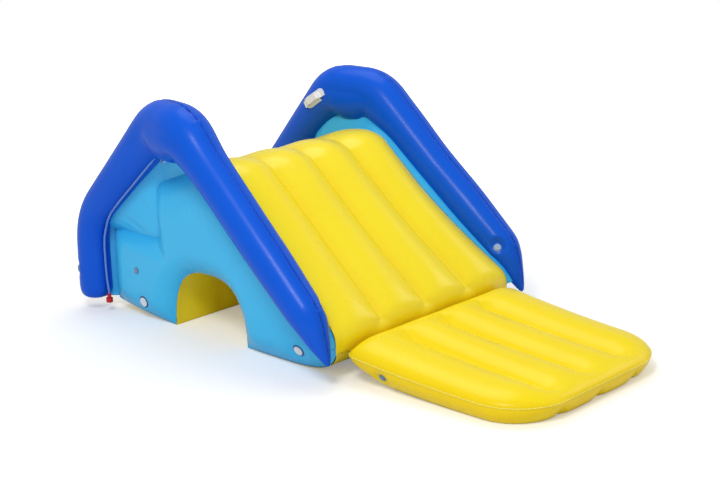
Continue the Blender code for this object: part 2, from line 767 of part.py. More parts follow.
def build_web(name, side, clearances):
    """Single sheet that joins the body's edge to the rail, and is cut flush with both."""
    low, high, _ = web_edges(side)
    mesh_edit = bmesh.new()
    rows = [[mesh_edit.verts.new(point) for point in edge] for edge in (low, high)]
    for index in range(len(low) - 1):
        mesh_edit.faces.new((rows[0][index], rows[0][index + 1], rows[1][index + 1]))
        mesh_edit.faces.new((rows[0][index], rows[1][index + 1], rows[1][index]))
    mesh = finish_mesh(name, mesh_edit)
    item = add_object(name, mesh, SKY_BLUE)
    solidify = item.modifiers.new("sheet", "SOLIDIFY")
    solidify.thickness = WEB_THICKNESS
    solidify.offset = 0.0
    for clearance in clearances:
        cut(item, clearance)
    return item


def build_rail(name, side):
    path = rail_path(side)
    centres = [point.to_3d() for point in path]
    mesh = tube_mesh(name, centres, [point.w for point in path], RAIL_SIDES_SETTING)
    rail = add_object(name, mesh, ROYAL_BLUE)
    clear = tube_mesh(name + "_clearance", centres, [point.w + GAP for point in path], RAIL_SIDES_SETTING)
    return rail, add_cutter(name + "_clearance", clear)


def mat_half_width(x, rear_x, front_x):
    """Half width of the mat's seam line, which rounds off at its four corners."""
    half = MAT_HALF_WIDTH
    half += (MAT_FRONT_HALF_WIDTH - MAT_HALF_WIDTH) * (x - rear_x) / (front_x - rear_x)
    ahead = x - (front_x - MAT_FRONT_CORNER)
    behind = (rear_x + MAT_REAR_CORNER) - x
    for reach, corner in ((ahead, MAT_FRONT_CORNER), (behind, MAT_REAR_CORNER)):
        if reach > 0.0:
            half += math.sqrt(max(corner ** 2 - reach ** 2, 0.0)) - corner
    return half


def build_mat():
    """Run-out mat: a pillow with four lobes on top, lying flat on the floor."""
    rear_x = TOE_X + HINGE_STANDOFF + MAT_SEAM_STANDOFF
    front_x = rear_x + MAT_LENGTH
    top = []
    under = []
    for share in MAT_SHARES:
        x = rear_x + MAT_LENGTH * share
        half = mat_half_width(x, rear_x, front_x)
        seam_z = MAT_FRONT_SEAM_Z + (MAT_REAR_SEAM_Z - MAT_FRONT_SEAM_Z) * (1.0 - share) ** 2
        crown = MAT_REAR_CROWN + (MAT_FRONT_CROWN - MAT_REAR_CROWN) * share
        groove = MAT_GROOVE_DEPTH * soft_swell(x - rear_x, MAT_GROOVE_FADE)
        groove *= soft_swell(front_x - x, MAT_GROOVE_FADE)
        ends = swell(x - rear_x, MAT_REAR_ROUND) * swell(front_x - x, MAT_FRONT_ROUND)
        under_ends = swell(min(x - rear_x, front_x - x), MAT_UNDER_ROUND)
        top_row = []
        under_row = []
        grooves = (-half, -MAT_GROOVE_Y, 0.0, MAT_GROOVE_Y, half)
        for y, lobe in lobe_places(grooves):
            edge = ends * swell(half - abs(y), MAT_EDGE_ROUND)
            under_edge = under_ends * swell(half - abs(y), MAT_UNDER_ROUND)
            inner_lobe = lobe if abs(y) < MAT_GROOVE_Y + MAT_HALF_WIDTH / LOBES else 1.0
            height = (crown - groove * (1.0 - inner_lobe)) * edge
            top_row.append((x, y, seam_z + height))
            under_row.append((x, y, max(seam_z - MAT_UNDER_CROWN * under_edge, 0.0)))
        top.append(top_row)
        under.append(under_row)
    return add_object("runout_mat", two_sided("runout_mat", top, under), MAT_YELLOW)


def build_joint():
    """Weld flanges of the body and the mat, which overlap along the fold line."""
    seam_z = MAT_REAR_SEAM_Z
    hinge_x = TOE_X + HINGE_STANDOFF
    low_z = seam_z - FLANGE_THICKNESS / 2.0
    body_top = low_z - GAP
    body_flange = [
        (TOE_X + GAP, body_top - FLANGE_THICKNESS),
        (hinge_x + FLANGE_OVERLAP, body_top - FLANGE_THICKNESS),
        (hinge_x + FLANGE_OVERLAP, body_top),
        (TOE_X + GAP, body_top),
    ]
    outline_solid("body_flange", body_flange, FLANGE_HALF_WIDTH, MAT_YELLOW)

    front = hinge_x + MAT_SEAM_STANDOFF - GAP
    sheet = [(hinge_x, -FLANGE_HALF_WIDTH), (front, -FLANGE_HALF_WIDTH), (front, FLANGE_HALF_WIDTH)]
    sheet.append((hinge_x, FLANGE_HALF_WIDTH))
    slot_x = (hinge_x + front) / 2.0
    slots = []
    for index in (-1, 0, 1):
        y = index * DRAIN_SLOT_PITCH
        x_low = slot_x - DRAIN_SLOT_WIDTH / 2.0
        x_high = slot_x + DRAIN_SLOT_WIDTH / 2.0
        y_low = y - DRAIN_SLOT_LENGTH / 2.0
        y_high = y + DRAIN_SLOT_LENGTH / 2.0
        slots.append([(x_low, y_low), (x_high, y_low), (x_high, y_high), (x_low, y_high)])
    flange = outline_solid("mat_flange", sheet, FLANGE_THICKNESS / 2.0, MAT_YELLOW, holes=slots)
    flange.rotation_euler = (0.0, 0.0, 0.0)
    flange.location = (0.0, 0.0, seam_z)


def build_handle(name, side, rail_clearance):
    """Grab handle: a pad welded to the rail's inner side, with a raised grip strap."""
    centre = nearest_on(rail_path(side), Vector((HANDLE_X, RAIL_TOP_REAR_Z)))
    for _ in range(2):
        centre = nearest_on(rail_path(side), Vector((HANDLE_X, centre.z)))
    inward = Vector((0.0, -side, 0.0))
    tilt = math.radians(HANDLE_TILT_DEGREES)
    lengthways = Vector((math.cos(tilt), 0.0, math.sin(tilt)))
    face = centre.to_3d() + inward * (centre.w + HANDLE_PAD)

    half = HANDLE_LENGTH / 2.0
    ends = HANDLE_WIDTH / 2.0
    outline = []
    for end in (1, -1):
        for step in range(9):
            angle = math.radians(-90.0 + 22.5 * step)
            outline.append((end * (half - ends + ends * math.cos(angle)), end * ends * math.sin(angle)))
    curve = bpy.data.curves.new(name + "_pad", "CURVE")
    curve.dimensions = "2D"
    curve.fill_mode = "BOTH"
    curve.extrude = (HANDLE_PAD + HANDLE_PAD_SINK) / 2.0
    spline = curve.splines.new("POLY")
    spline.points.add(len(outline) - 1)
    for place, point in zip(spline.points, outline):
        place.co = (point[0], point[1], 0.0, 1.0)
    spline.use_cyclic_u = True
    guide = bpy.data.objects.new(name + "_pad_guide", curve)
    CUTTERS.objects.link(guide)
    mesh = mesh_of(guide)
    bpy.data.objects.remove(guide, do_unlink=True)
    pad = add_object(name + "_pad", mesh, WHITE)
    pad.rotation_euler = (math.radians(90.0 * side), -tilt, 0.0)
    pad.location = face - inward * (HANDLE_PAD + HANDLE_PAD_SINK) / 2.0
    cut(pad, rail_clearance)

    reach = half - GRIP_FOOT / 2.0
    corners = (
        Vector((-reach - GRIP_FOOT / 2.0, GRIP_THICKNESS / 2.0)),
        Vector((-reach + GRIP_FOOT, GRIP_THICKNESS / 2.0)),
        Vector((-reach + GRIP_FOOT * GRIP_BEND_SHARE, GRIP_HEIGHT)),
        Vector((reach - GRIP_FOOT * GRIP_BEND_SHARE, GRIP_HEIGHT)),
        Vector((reach - GRIP_FOOT, GRIP_THICKNESS / 2.0)),
        Vector((reach + GRIP_FOOT / 2.0, GRIP_THICKNESS / 2.0)),
    )
    path = rounded(corners, (GRIP_CUT, GRIP_CUT, GRIP_CUT, GRIP_CUT))
    outline = band(path, GRIP_THICKNESS / 2.0, -GRIP_THICKNESS / 2.0)
    strap = outline_solid(name + "_grip", outline, GRIP_WIDTH / 2.0, WHITE)
    strap.rotation_mode = "QUATERNION"
    strap.location = face + inward * GAP
    strap.rotation_quaternion = axes_quaternion((lengthways, inward, lengthways.cross(inward)))


def axes_quaternion(axes):
    """Rotation that takes X, Y and Z to the three given unit vectors."""
    return Matrix(axes).transposed().to_quaternion()


def build_fitting(name, cap_name, host, seat, sizes, colours):
    """Cup let into a pocket of its host, with a push-in cap whose stem fits the cup's bore."""
    point, normal = seat
    radius, height, sunk, bore_radius, bore_depth, cap_radius, cap_height = sizes
    pocket = add_cutter(name + "_pocket", cylinder_mesh(name + "_pocket", radius + GAP, sunk + GAP, height))
    place_on(pocket, point, normal)
    cut(host, pocket)

    top = height - sunk
    floor = top - bore_depth
    cup = (
        (0.0, floor),
        (bore_radius, floor),
        (bore_radius, top),
        (radius, top),
        (radius, -sunk),
        (0.0, -sunk),
    )
    place_on(turned(name, cup, colours[0]), point, normal)
    stem_radius = bore_radius - GAP
    cap = (
        (0.0, top + GAP + cap_height),
        (cap_radius, top + GAP + cap_height),
        (cap_radius, top + GAP),
        (stem_radius, top + GAP),
        (stem_radius, floor + GAP),
        (0.0, floor + GAP),
    )
    place_on(turned(cap_name, cap, colours[1]), point, normal)


def cylinder_mesh(name, radius, below, above):
    """Closed cylinder about Z, from a depth below its origin to a height above it."""
    mesh_edit = bmesh.new()
    bmesh.ops.create_cone(
        mesh_edit,
        cap_ends=True,
        segments=ROUND_STEPS,
        radius1=radius,
        radius2=radius,
        depth=below + above,
    )
    bmesh.ops.translate(mesh_edit, vec=(0.0, 0.0, (above - below) / 2.0), verts=mesh_edit.verts)
    mesh = bpy.data.meshes.new(name)
    mesh_edit.to_mesh(mesh)
    mesh_edit.free()
    return mesh


def build_fittings(panels, rails, mat):
    """Valves of the body, the rails and the mat, and the ballast ports of the four legs."""
    valve = (VALVE_RADIUS, VALVE_HEIGHT, VALVE_SUNK, VALVE_BORE_RADIUS, VALVE_BORE_DEPTH)
    valve += (VALVE_CAP_RADIUS, VALVE_CAP_HEIGHT)
    port = (PORT_RADIUS, PORT_HEIGHT, PORT_SUNK, PORT_BORE_RADIUS, PORT_BORE_DEPTH)
    port += (PLUG_CAP_RADIUS, PLUG_CAP_HEIGHT)
    far_out = 2.0 * BODY_HALF_WIDTH
    seats = []
    for word, side in SIDES:
        inward = Vector((0.0, -side, 0.0))
        panel = panels[side]
        rail = rails[side]
        if side < 0:
            start = Vector((PANEL_VALVE_X, side * far_out, PANEL_VALVE_Z))
            seat = surface_of(panel, start, inward)
            seats.append(("body_valve", "body_valve_cap", panel, seat, valve, "clear"))
            start = Vector((MAT_VALVE_X, side * far_out, MAT_VALVE_Z))
            seat = surface_of(mat, start, inward)
            seats.append(("mat_valve", "mat_valve_cap", mat, seat, valve, "clear"))
        for place, x in (("rear", REAR_PORT_X), ("front", FRONT_PORT_X)):
            seat = surface_of(panel, Vector((x, side * far_out, PORT_Z)), inward)
            seats.append((f"{place}_port_{word}", f"{place}_plug_{word}", panel, seat, port, "navy"))
        rear = Vector((RAIL_REAR_X, side * RAIL_REAR_Y, RAIL_REAR_VALVE_Z))
        front = Vector((RAIL_FRONT_VALVE_X, side * RAIL_FRONT_Y, RAIL_FRONT_VALVE_Z))
        aims = (("rear", rear, REAR_VALVE_AIM_SHARES), ("front", front, FRONT_VALVE_AIM_SHARES))
        for place, middle, (ahead, out, up) in aims:
            probe = Vector((ahead, side * out, up)) * BODY_HALF_WIDTH
            seat = surface_of(rail, middle + probe, -probe)
            names = (f"rail_{place}_valve_{word}", f"rail_{place}_valve_cap_{word}")
            seats.append((*names, rail, seat, valve, "clear"))
    colours = {"clear": (CLEAR_GREY, CLEAR_GREY), "navy": (NAVY, WHITE)}
    for name, cap_name, host, seat, sizes, kind in seats:
        build_fitting(name, cap_name, host, seat, sizes, colours[kind])


def build_sprinkler(web):
    """Water line along the right-hand rail: coupling with its nut, hose and spray nozzle."""
    side = -1
    low, high, centres = web_edges(side)
    stand = HOSE_RADIUS + HOSE_CLEARANCE
    outward = Vector((0.0, side, 0.0))
    climb_end = next(index for index, centre in enumerate(centres) if centre.x > NOZZLE_X)
    path = refined(rail_path(side), LONGEST_STEP)
    flat = [Vector((point.x, point.z)) for point in path]
    guide = []
    for centre, normal in zip(path, outward_normals(flat)):
        if centre.z < HOSE_START_Z:
            continue
        if centre.x > NOZZLE_X:
            break
        inner = Vector((-normal.x, 0.0, -normal.y))
        climb = min(max((centre.z - RAIL_REAR_BEND_Z) / RAIL_REAR_CUT, 0.0), 1.0)
        lean = math.radians(HOSE_LEAN_DEGREES) * climb
        lie = inner * math.cos(lean) + outward * math.sin(lean)
        guide.append(centre.to_3d() + lie * (centre.w + stand))

    corners = (low[climb_end - 1], high[climb_end], high[climb_end - 1])
    hole = (corners[0] + corners[1] + corners[2]) / 3.0
    normal = (corners[1] - corners[0]).cross(corners[2] - corners[0]).normalized()
    if normal.dot(outward) < 0.0:
        normal = -normal
    shaft = WEB_THICKNESS / 2.0 + NOZZLE_CLEARANCE
    nozzle = (
        (0.0, shaft + NOZZLE_FLANGE_LENGTH),
        (NOZZLE_FLANGE_RADIUS, shaft + NOZZLE_FLANGE_LENGTH),
        (NOZZLE_FLANGE_RADIUS, shaft),
        (NOZZLE_SHAFT_RADIUS, shaft),
        (NOZZLE_SHAFT_RADIUS, -shaft),
        (NOZZLE_HEAD_RADIUS, -shaft),
        (NOZZLE_HEAD_RADIUS, -shaft - NOZZLE_HEAD_LENGTH),
        (0.0, -shaft - NOZZLE_HEAD_LENGTH),
    )
    place_on(turned("spray_nozzle", nozzle, WHITE), hole, normal)
    bore = cylinder_mesh("nozzle_hole", NOZZLE_SHAFT_RADIUS + GAP, 4.0 * WEB_THICKNESS, 4.0 * WEB_THICKNESS)
    cutter = add_cutter("nozzle_hole", bore)
    place_on(cutter, hole, normal)
    cut(web, cutter)

    inlet = hole + normal * (shaft + NOZZLE_FLANGE_LENGTH + GAP)
    beside_rail = RAIL_REAR_X + RAIL_REAR_RADIUS + NUT_RADIUS + HOSE_CLEARANCE
    start = Vector((beside_rail, side * RAIL_REAR_Y, HOSE_LOW_Z))
    rise = Vector((0.0, 0.0, 3.0 * HOSE_RADIUS))
    guide = [start + rise] + guide + [inlet + normal * (3.0 * HOSE_RADIUS)]
    route = [along(guide, index / (HOSE_STATIONS - 1)) for index in range(HOSE_STATIONS)]
    route = [start] + route + [inlet]
    hose = tube_curve("sprinkler_hose", route, [HOSE_RADIUS] * len(route), 2)
    add_object("sprinkler_hose", hose, HOSE_LILAC)

    bottom = start.z - GAP - COUPLING_LENGTH
    tail = (
        (0.0, COUPLING_LENGTH),
        (COUPLING_RADIUS, COUPLING_LENGTH),
        (COUPLING_RADIUS, 0.0),
        (0.0, 0.0),
    )
    coupling = turned("hose_coupling", tail, COUPLING_RED)
    coupling.location = (start.x, start.y, bottom)
    nut = (
        (COUPLING_RADIUS + GAP, NUT_LENGTH),
        (NUT_RADIUS, NUT_LENGTH),
        (NUT_RADIUS, 0.0),
        (COUPLING_RADIUS + GAP, 0.0),
        (COUPLING_RADIUS + GAP, NUT_LENGTH),
    )
    ring = turned("coupling_nut", nut, COUPLING_RED)
    ring.location = (start.x, start.y, bottom + NUT_LIP)


def centre_along():
    """Move everything along X so that the origin lies under the middle of the length."""
    rear_x = RAIL_REAR_X - RAIL_REAR_RADIUS
    front_x = TOE_X + HINGE_STANDOFF + MAT_SEAM_STANDOFF + MAT_LENGTH
    for item in list(PARTS.objects) + list(CUTTERS.objects):
        item.location.x -= (rear_x + front_x) / 2.0


def main():
    build_body()
    panels = {}
    rails = {}
    webs = {}
    for word, side in SIDES:
        panels[side], panel_clearance = build_panel("side_panel_" + word, side)
        rails[side], rail_clearance = build_rail("rail_" + word, side)
        webs[side] = build_web("rail_web_" + word, side, (panel_clearance, rail_clearance))
        build_handle("handle_" + word, side, rail_clearance)
    mat = build_mat()
    build_joint()
    build_fittings(panels, rails, mat)
    build_sprinkler(webs[-1])
    centre_along()


PARTS, CUTTERS = start_scene()
main()
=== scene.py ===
"""Looks of the inflatable pool slide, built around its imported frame.

Metres, +Z up. +X runs down the slide to the run-out mat, -Y is the rider's right-hand side.
"""
import math

import bmesh
import bpy
import numpy as np
from mathutils import Matrix, Vector


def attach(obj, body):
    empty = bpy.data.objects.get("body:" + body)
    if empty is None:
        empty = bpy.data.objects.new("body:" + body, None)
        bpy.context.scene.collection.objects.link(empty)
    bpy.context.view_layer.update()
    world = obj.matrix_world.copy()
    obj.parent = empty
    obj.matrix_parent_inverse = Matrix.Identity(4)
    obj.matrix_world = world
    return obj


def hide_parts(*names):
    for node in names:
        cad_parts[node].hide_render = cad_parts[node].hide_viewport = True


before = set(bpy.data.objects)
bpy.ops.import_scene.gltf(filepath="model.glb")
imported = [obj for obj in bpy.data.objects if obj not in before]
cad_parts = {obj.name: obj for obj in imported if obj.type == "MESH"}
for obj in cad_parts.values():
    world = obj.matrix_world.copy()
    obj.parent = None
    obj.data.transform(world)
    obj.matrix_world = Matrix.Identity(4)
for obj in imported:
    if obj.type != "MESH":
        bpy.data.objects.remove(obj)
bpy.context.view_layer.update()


# Studio: a pale floor that keeps the slide's soft shadow, a white surround and three round soft
# lamps, the strongest of them at the front right. The camera stands where the photograph was taken
# from, for a frame of 720 by 480.
CAMERA_TARGET = Vector((0.4885, -0.173, 0.564))
CAMERA_AZIMUTH = math.radians(41.695)
CAMERA_HEIGHT = math.radians(15.798)
CAMERA_ROLL = math.radians(-0.742)
CAMERA_DISTANCE = 5.979
CAMERA_LENS = 77.65
CAMERA_SHIFT = (-0.0928, -0.0129)
WHITE = (1.0, 1.0, 1.0, 1.0)
FLOOR_PAINT = (0.87, 0.865, 0.85, 1.0)
FLOOR_REACH = 9.0
FLOOR_NEAR = 1.5
FLOOR_FAR = 3.0
FLOOR_GLOW = 0.26
SURROUND_LEVEL = 0.54
LAMP_AIM = Vector((0.0, 0.0, 0.4))
# Name, place, width and power of each lamp.
LAMPS = (
    ("key_lamp", (1.9, -3.6, 4.6), 1.6, 122.0),
    ("top_lamp", (-1.2, 0.6, 5.0), 3.4, 62.0),
    ("far_lamp", (1.6, 4.0, 3.2), 2.4, 22.0),
)


def nodes_of(material):
    """Empty node tree of a material, with its output node."""
    material.use_nodes = True
    tree = material.node_tree
    tree.nodes.clear()
    return tree, tree.nodes.new("ShaderNodeOutputMaterial")


def put_node(tree, kind, given=None, **settings):
    """New node of a tree. A given input is a value, or the socket of another node that feeds it."""
    node = tree.nodes.new(kind)
    for setting, value in settings.items():
        setattr(node, setting, value)
    for label, value in (given or {}).items():
        if isinstance(value, bpy.types.NodeSocket):
            tree.links.new(value, node.inputs[label])
        else:
            node.inputs[label].default_value = value
    return node


def put_camera():
    """Camera at the photograph's viewpoint, from its azimuth, height and roll."""
    back = Vector((
        math.sin(CAMERA_AZIMUTH) * math.cos(CAMERA_HEIGHT),
        -math.cos(CAMERA_AZIMUTH) * math.cos(CAMERA_HEIGHT),
        math.sin(CAMERA_HEIGHT),
    ))
    level = Vector((0.0, 0.0, 1.0)).cross(back).normalized()
    upright = back.cross(level)
    right = level * math.cos(CAMERA_ROLL) + upright * math.sin(CAMERA_ROLL)
    above = upright * math.cos(CAMERA_ROLL) - level * math.sin(CAMERA_ROLL)
    camera = bpy.data.objects.new("camera", bpy.data.cameras.new("camera"))
    bpy.context.scene.collection.objects.link(camera)
    turn = Matrix((right, above, back)).transposed().to_4x4()
    camera.matrix_world = Matrix.Translation(CAMERA_TARGET + back * CAMERA_DISTANCE) @ turn
    camera.data.lens = CAMERA_LENS
    camera.data.shift_x, camera.data.shift_y = CAMERA_SHIFT
    bpy.context.scene.camera = camera


def light_studio():
    """Lamps, and a surround that is white to the camera but lights the slide less."""
    bpy.context.scene.view_settings.view_transform = "Standard"
    for name, place, size, power in LAMPS:
        lamp = bpy.data.lights.new(name, "AREA")
        lamp.shape = "DISK"
        lamp.size = size
        lamp.energy = power
        item = bpy.data.objects.new(name, lamp)
        bpy.context.scene.collection.objects.link(item)
        item.location = place
        item.rotation_euler = (LAMP_AIM - Vector(place)).to_track_quat("-Z", "Y").to_euler()
    world = bpy.data.worlds.new("surround")
    bpy.context.scene.world = world
    world.use_nodes = True
    tree = world.node_tree
    tree.nodes.clear()
    ray = put_node(tree, "ShaderNodeLightPath")
    seen = put_node(tree, "ShaderNodeMath", {
        0: ray.outputs["Is Camera Ray"], 1: ray.outputs["Is Transmission Ray"],
    }, operation="MAXIMUM")
    level = put_node(tree, "ShaderNodeMix", {
        "A": SURROUND_LEVEL, "B": 1.0, "Factor": seen.outputs[0],
    })
    shade = put_node(tree, "ShaderNodeBackground", {
        "Color": WHITE, "Strength": level.outputs["Result"],
    })
    put_node(tree, "ShaderNodeOutputWorld", {"Surface": shade.outputs[0]})


def lay_floor():
    """Floor that keeps shadows near the slide and fades to plain white further out."""
    mesh = bpy.data.meshes.new("floor")
    signs = ((-1, -1), (1, -1), (1, 1), (-1, 1))
    corners = [(x * FLOOR_REACH, y * FLOOR_REACH, 0.0) for x, y in signs]
    mesh.from_pydata(corners, [], [(0, 1, 2, 3)])
    floor = bpy.data.objects.new("floor", mesh)
    bpy.context.scene.collection.objects.link(floor)
    material = bpy.data.materials.new("pale_floor")
    mesh.materials.append(material)
    tree, out = nodes_of(material)
    paint = put_node(tree, "ShaderNodeBsdfDiffuse", {"Color": FLOOR_PAINT})
    place = put_node(tree, "ShaderNodeTexCoord")
    reach = put_node(tree, "ShaderNodeVectorMath", {0: place.outputs["Object"]}, operation="LENGTH")
    level = put_node(tree, "ShaderNodeMapRange", {
        "Value": reach.outputs["Value"], "From Min": FLOOR_NEAR, "From Max": FLOOR_FAR,
        "To Min": FLOOR_GLOW, "To Max": 1.0,
    }, interpolation_type="SMOOTHSTEP")
    ray = put_node(tree, "ShaderNodeLightPath")
    seen = put_node(tree, "ShaderNodeMath", {
        0: ray.outputs["Is Camera Ray"], 1: level.outputs["Result"],
    }, operation="MULTIPLY")
    glow = put_node(tree, "ShaderNodeEmission", {"Color": WHITE, "Strength": seen.outputs[0]})
    both = put_node(tree, "ShaderNodeAddShader", {0: paint.outputs[0], 1: glow.outputs[0]})
    tree.links.new(both.outputs[0], out.inputs["Surface"])


put_camera()
light_studio()
lay_floor()


# Sliding deck: one sheet of yellow vinyl from the top of the riser over the crest to the toe.
# Welded ribs draw it down along three lines, so the air lifts it into four long lobes. The welds
# stop above the toe, and the sheet is pinched in a small fan of dents at each end.
REAR_X = -1.0765
STEP_X = -0.7665
PEAK_X = -0.4615
BEND_X = -0.3415
MID_SLOPE = (0.0185, 0.418)
TOE_X = 0.3265
HEEL_Z = 0.045
STEP_Z = 0.370
RISER_TOP_Z = 0.562
SHOULDER_Z = 0.615
CREST_Z = 0.727
BROW_Z = 0.190
TOE_Z = 0.118
BODY_HALF_WIDTH = 0.472
LOBES = 4
LOBE_PITCH = 2.0 * BODY_HALF_WIDTH / LOBES
RIB_LINES = (-1, 0, 1)
DECK_CORNERS = (
    (STEP_X, RISER_TOP_Z), (STEP_X, SHOULDER_Z), (PEAK_X, CREST_Z), (BEND_X, CREST_Z),
    MID_SLOPE, (TOE_X, BROW_Z), (TOE_X, TOE_Z),
)
DECK_CUTS = (0.042, 0.055, 0.060, 0.200, 0.045)
FLARE_PLACES = (-0.7665, -0.600, -0.340, -0.100, 0.050, 0.200, 0.3265)
FLARES = (0.0, -0.012, -0.018, -0.014, 0.002, 0.026, 0.050)
DECK_ACROSS = 161
SKIN_STEP = 0.006
SKIN = 0.0022
# Lobes: their height at the crest and down the slope, and how they round off at both ends.
CREST_LOBE = 0.021
SLOPE_LOBE = 0.037
LOBE_CHANGE = 0.16
LOBE_SOFTNESS = 0.0012
LOBE_SINK = 0.0346
RISER_ROUND = 0.050
TOE_ROUND = 0.190
# The deck's free margin beside each rail, a little fuller on the crest.
MARGIN_SHARE = 0.35
MARGIN_RUN = 0.25
MARGIN_ROUND = 0.05
MARGIN_REACH = 0.12
# Ends of the rib welds and the dents that fan out from them, and the dents where the deck bends.
WELD_END = 0.075
WELD_END_FADE = 0.060
FAN_FOLDS = 3.0
FAN_DEPTH = 0.0034
FAN_REACH = 0.090
FAN_CORE = 0.020
FAN_DIP = 0.45
BEND_DENT = 0.0032
BEND_DENT_ALONG = 0.022
BEND_DENT_ACROSS = 0.040
# Gathers beside a weld: height, wave length and reach. Unevenness of a sheet: height, wave length.
RIB_GATHERS = (0.0005, 0.021, 0.022)
EDGE_GATHERS = (0.0014, 0.026, 0.030)
EDGE_GATHERS_ROUND = 0.010
EDGE_SIDES_APART = 3.0
DECK_UNEVEN = (0.0012, 0.19)
DECK_UNEVEN_SLANT = 0.9
DECK_UNEVEN_ROUND = 0.050
RIPPLE_TABLE = 997
# A cross weld takes its gathers from another stretch of the random table than a lengthwise one.
CROSS_WELD = 5.0
# Past the end of an inner weld there is none to be near to, so the distance grows by this much.
OFF_RIB = 0.3
OFF_RIB_RUN = 0.02
DECK_YELLOW = (0.93, 0.765, 0.014)
# The deck's shade colour: what it turns to in the painted shade of its weld creases, and in its
# clouding.
DECK_SHADE = (0.86, 0.62, 0.005)
# Vinyl: how far from a weld its puckers and its painted shade reach, how fine the puckers are
# along and across the weld, how much the painted shade in a weld's crease deepens the colour, and
# how much the clouding, an unevenness of the vinyl's own tone, deepens it.
WELD_PUCKER_AND_SHADE_REACH = 0.045
PUCKER_SCALE = (90.0, 9.0, 1.0)
WELD_CREASE_SHADE = 0.38
CLOUD_TINT = 0.35


def eased(places, start, end):
    """0 before start, 1 after end, and smooth between them."""
    share = np.clip((np.asarray(places, float) - start) / (end - start), 0.0, 1.0)
    return share * share * (3.0 - 2.0 * share)


def swell(distance, size):
    """0 at a seam, rising like a quarter ellipse to 1 at a distance from it."""
    rest = 1.0 - np.clip(np.asarray(distance, float) / size, 0.0, 1.0)
    return np.sqrt(np.clip(1.0 - rest * rest, 0.0, 1.0))


def soft_swell(distance, size):
    """0 at a seam, rising like a parabola to 1 at a distance from it."""
    rest = 1.0 - np.clip(np.asarray(distance, float) / size, 0.0, 1.0)
    return 1.0 - rest * rest


def ripple(places, wave, seed):
    """Smooth random waviness between -1 and 1 along a line."""
    table = np.random.default_rng(seed).uniform(-1.0, 1.0, RIPPLE_TABLE)
    place = np.asarray(places, float) / wave
    low = np.floor(place).astype(int)
    share = place - low
    share = share * share * (3.0 - 2.0 * share)
    return table[low % RIPPLE_TABLE] * (1.0 - share) + table[(low + 1) % RIPPLE_TABLE] * share


def uneven(places, size, seed):
    """Slight unevenness of a sheet. size is its height and its wave length."""
    height, wave = size
    return height * ripple(places, wave, seed)


def gathers(along, away, size, seed):
    """Small gathers beside a weld. size is their height, wave length and reach from the weld."""
    height, wave, reach = size
    return height * ripple(along, wave, seed) * np.exp(-away / reach)


def dent_fan(across, beyond, reach, core):
    """Folds between -1 and 1 that fan out from a weld's end, at places across and beyond it."""
    away = np.hypot(across, beyond)
    turn = np.arctan2(across, beyond)
    folds = np.cos(FAN_FOLDS * turn) * np.exp(-(away / reach) ** 2)
    return folds * (1.0 - np.exp(-(away / core) ** 2))


def rounded(corners, cuts, steps=14):
    """Line through the corners, each inner one rounded back by its cut."""
    corners = [np.array(corner, float) for corner in corners]
    line = [corners[0]]
    for before, corner, after, size in zip(corners, corners[1:], corners[2:], cuts):
        back = (before - corner) / np.linalg.norm(before - corner) * size
        ahead = (after - corner) / np.linalg.norm(after - corner) * size
        for share in np.linspace(0.0, 1.0, steps):
            line.append(corner + back * (1.0 - share) ** 2 + ahead * share ** 2)
    line.append(corners[-1])
    return np.array(line)


def lengths(line):
    """Distance along a line up to each of its points, measured in its first three columns."""
    steps = np.linalg.norm(np.diff(line[:, :3], axis=0), axis=1)
    return np.concatenate([[0.0], np.cumsum(steps)])


def at_lengths(line, places):
    """Points of a line at given distances along it."""
    travelled = lengths(line)
    columns = [np.interp(places, travelled, line[:, column]) for column in range(line.shape[1])]
    return np.stack(columns, axis=1)


def evenly(line, step):
    """The same line in equal steps."""
    total = lengths(line)[-1]
    return at_lengths(line, np.linspace(0.0, total, max(2, round(total / step) + 1)))


def outward(line):
    """Unit normals on the left of a side-view line, which is the body's outside."""
    run = np.gradient(line, axis=0)
    run /= np.linalg.norm(run, axis=1, keepdims=True)
    return np.stack([-run[:, 1], run[:, 0]], axis=1)


def raised(path, normals, y, height):
    """Rows of points y across the body, each row lifted from a side-view line along its normals."""
    x = path[:, :1] + normals[:, :1] * height
    z = path[:, 1:] + normals[:, 1:] * height
    return np.stack([x, y, z], axis=-1)


def flare(x):
    """How far the deck's welded edge stands outside the body's half width at places along it."""
    return np.interp(x, FLARE_PLACES, FLARES)


def skin_mesh(name, rows, closed=False, flip=False):
    """Smooth quad mesh over rows of points. closed joins the end of each row to its start."""
    rows = np.asarray(rows, float)
    index = np.arange(rows.shape[0] * rows.shape[1]).reshape(rows.shape[:2])
    left = index if closed else index[:, :-1]
    right = np.roll(index, -1, axis=1) if closed else index[:, 1:]
    faces = np.stack([left[:-1], right[:-1], right[1:], left[1:]], axis=-1).reshape(-1, 4)
    if flip:
        faces = faces[:, ::-1]
    mesh = bpy.data.meshes.new(name)
    mesh.from_pydata(rows.reshape(-1, 3).tolist(), [], faces.tolist())
    mesh.shade_smooth()
    return mesh


def note_weld(mesh, along, away):
    """Store on each point how far along the nearest weld it lies, and how far from it."""
    for label, values in (("weld_along", along), ("weld_away", away)):
        attribute = mesh.attributes.new(label, "FLOAT", "POINT")
        attribute.data.foreach_set("value", np.asarray(values, np.float32).ravel())


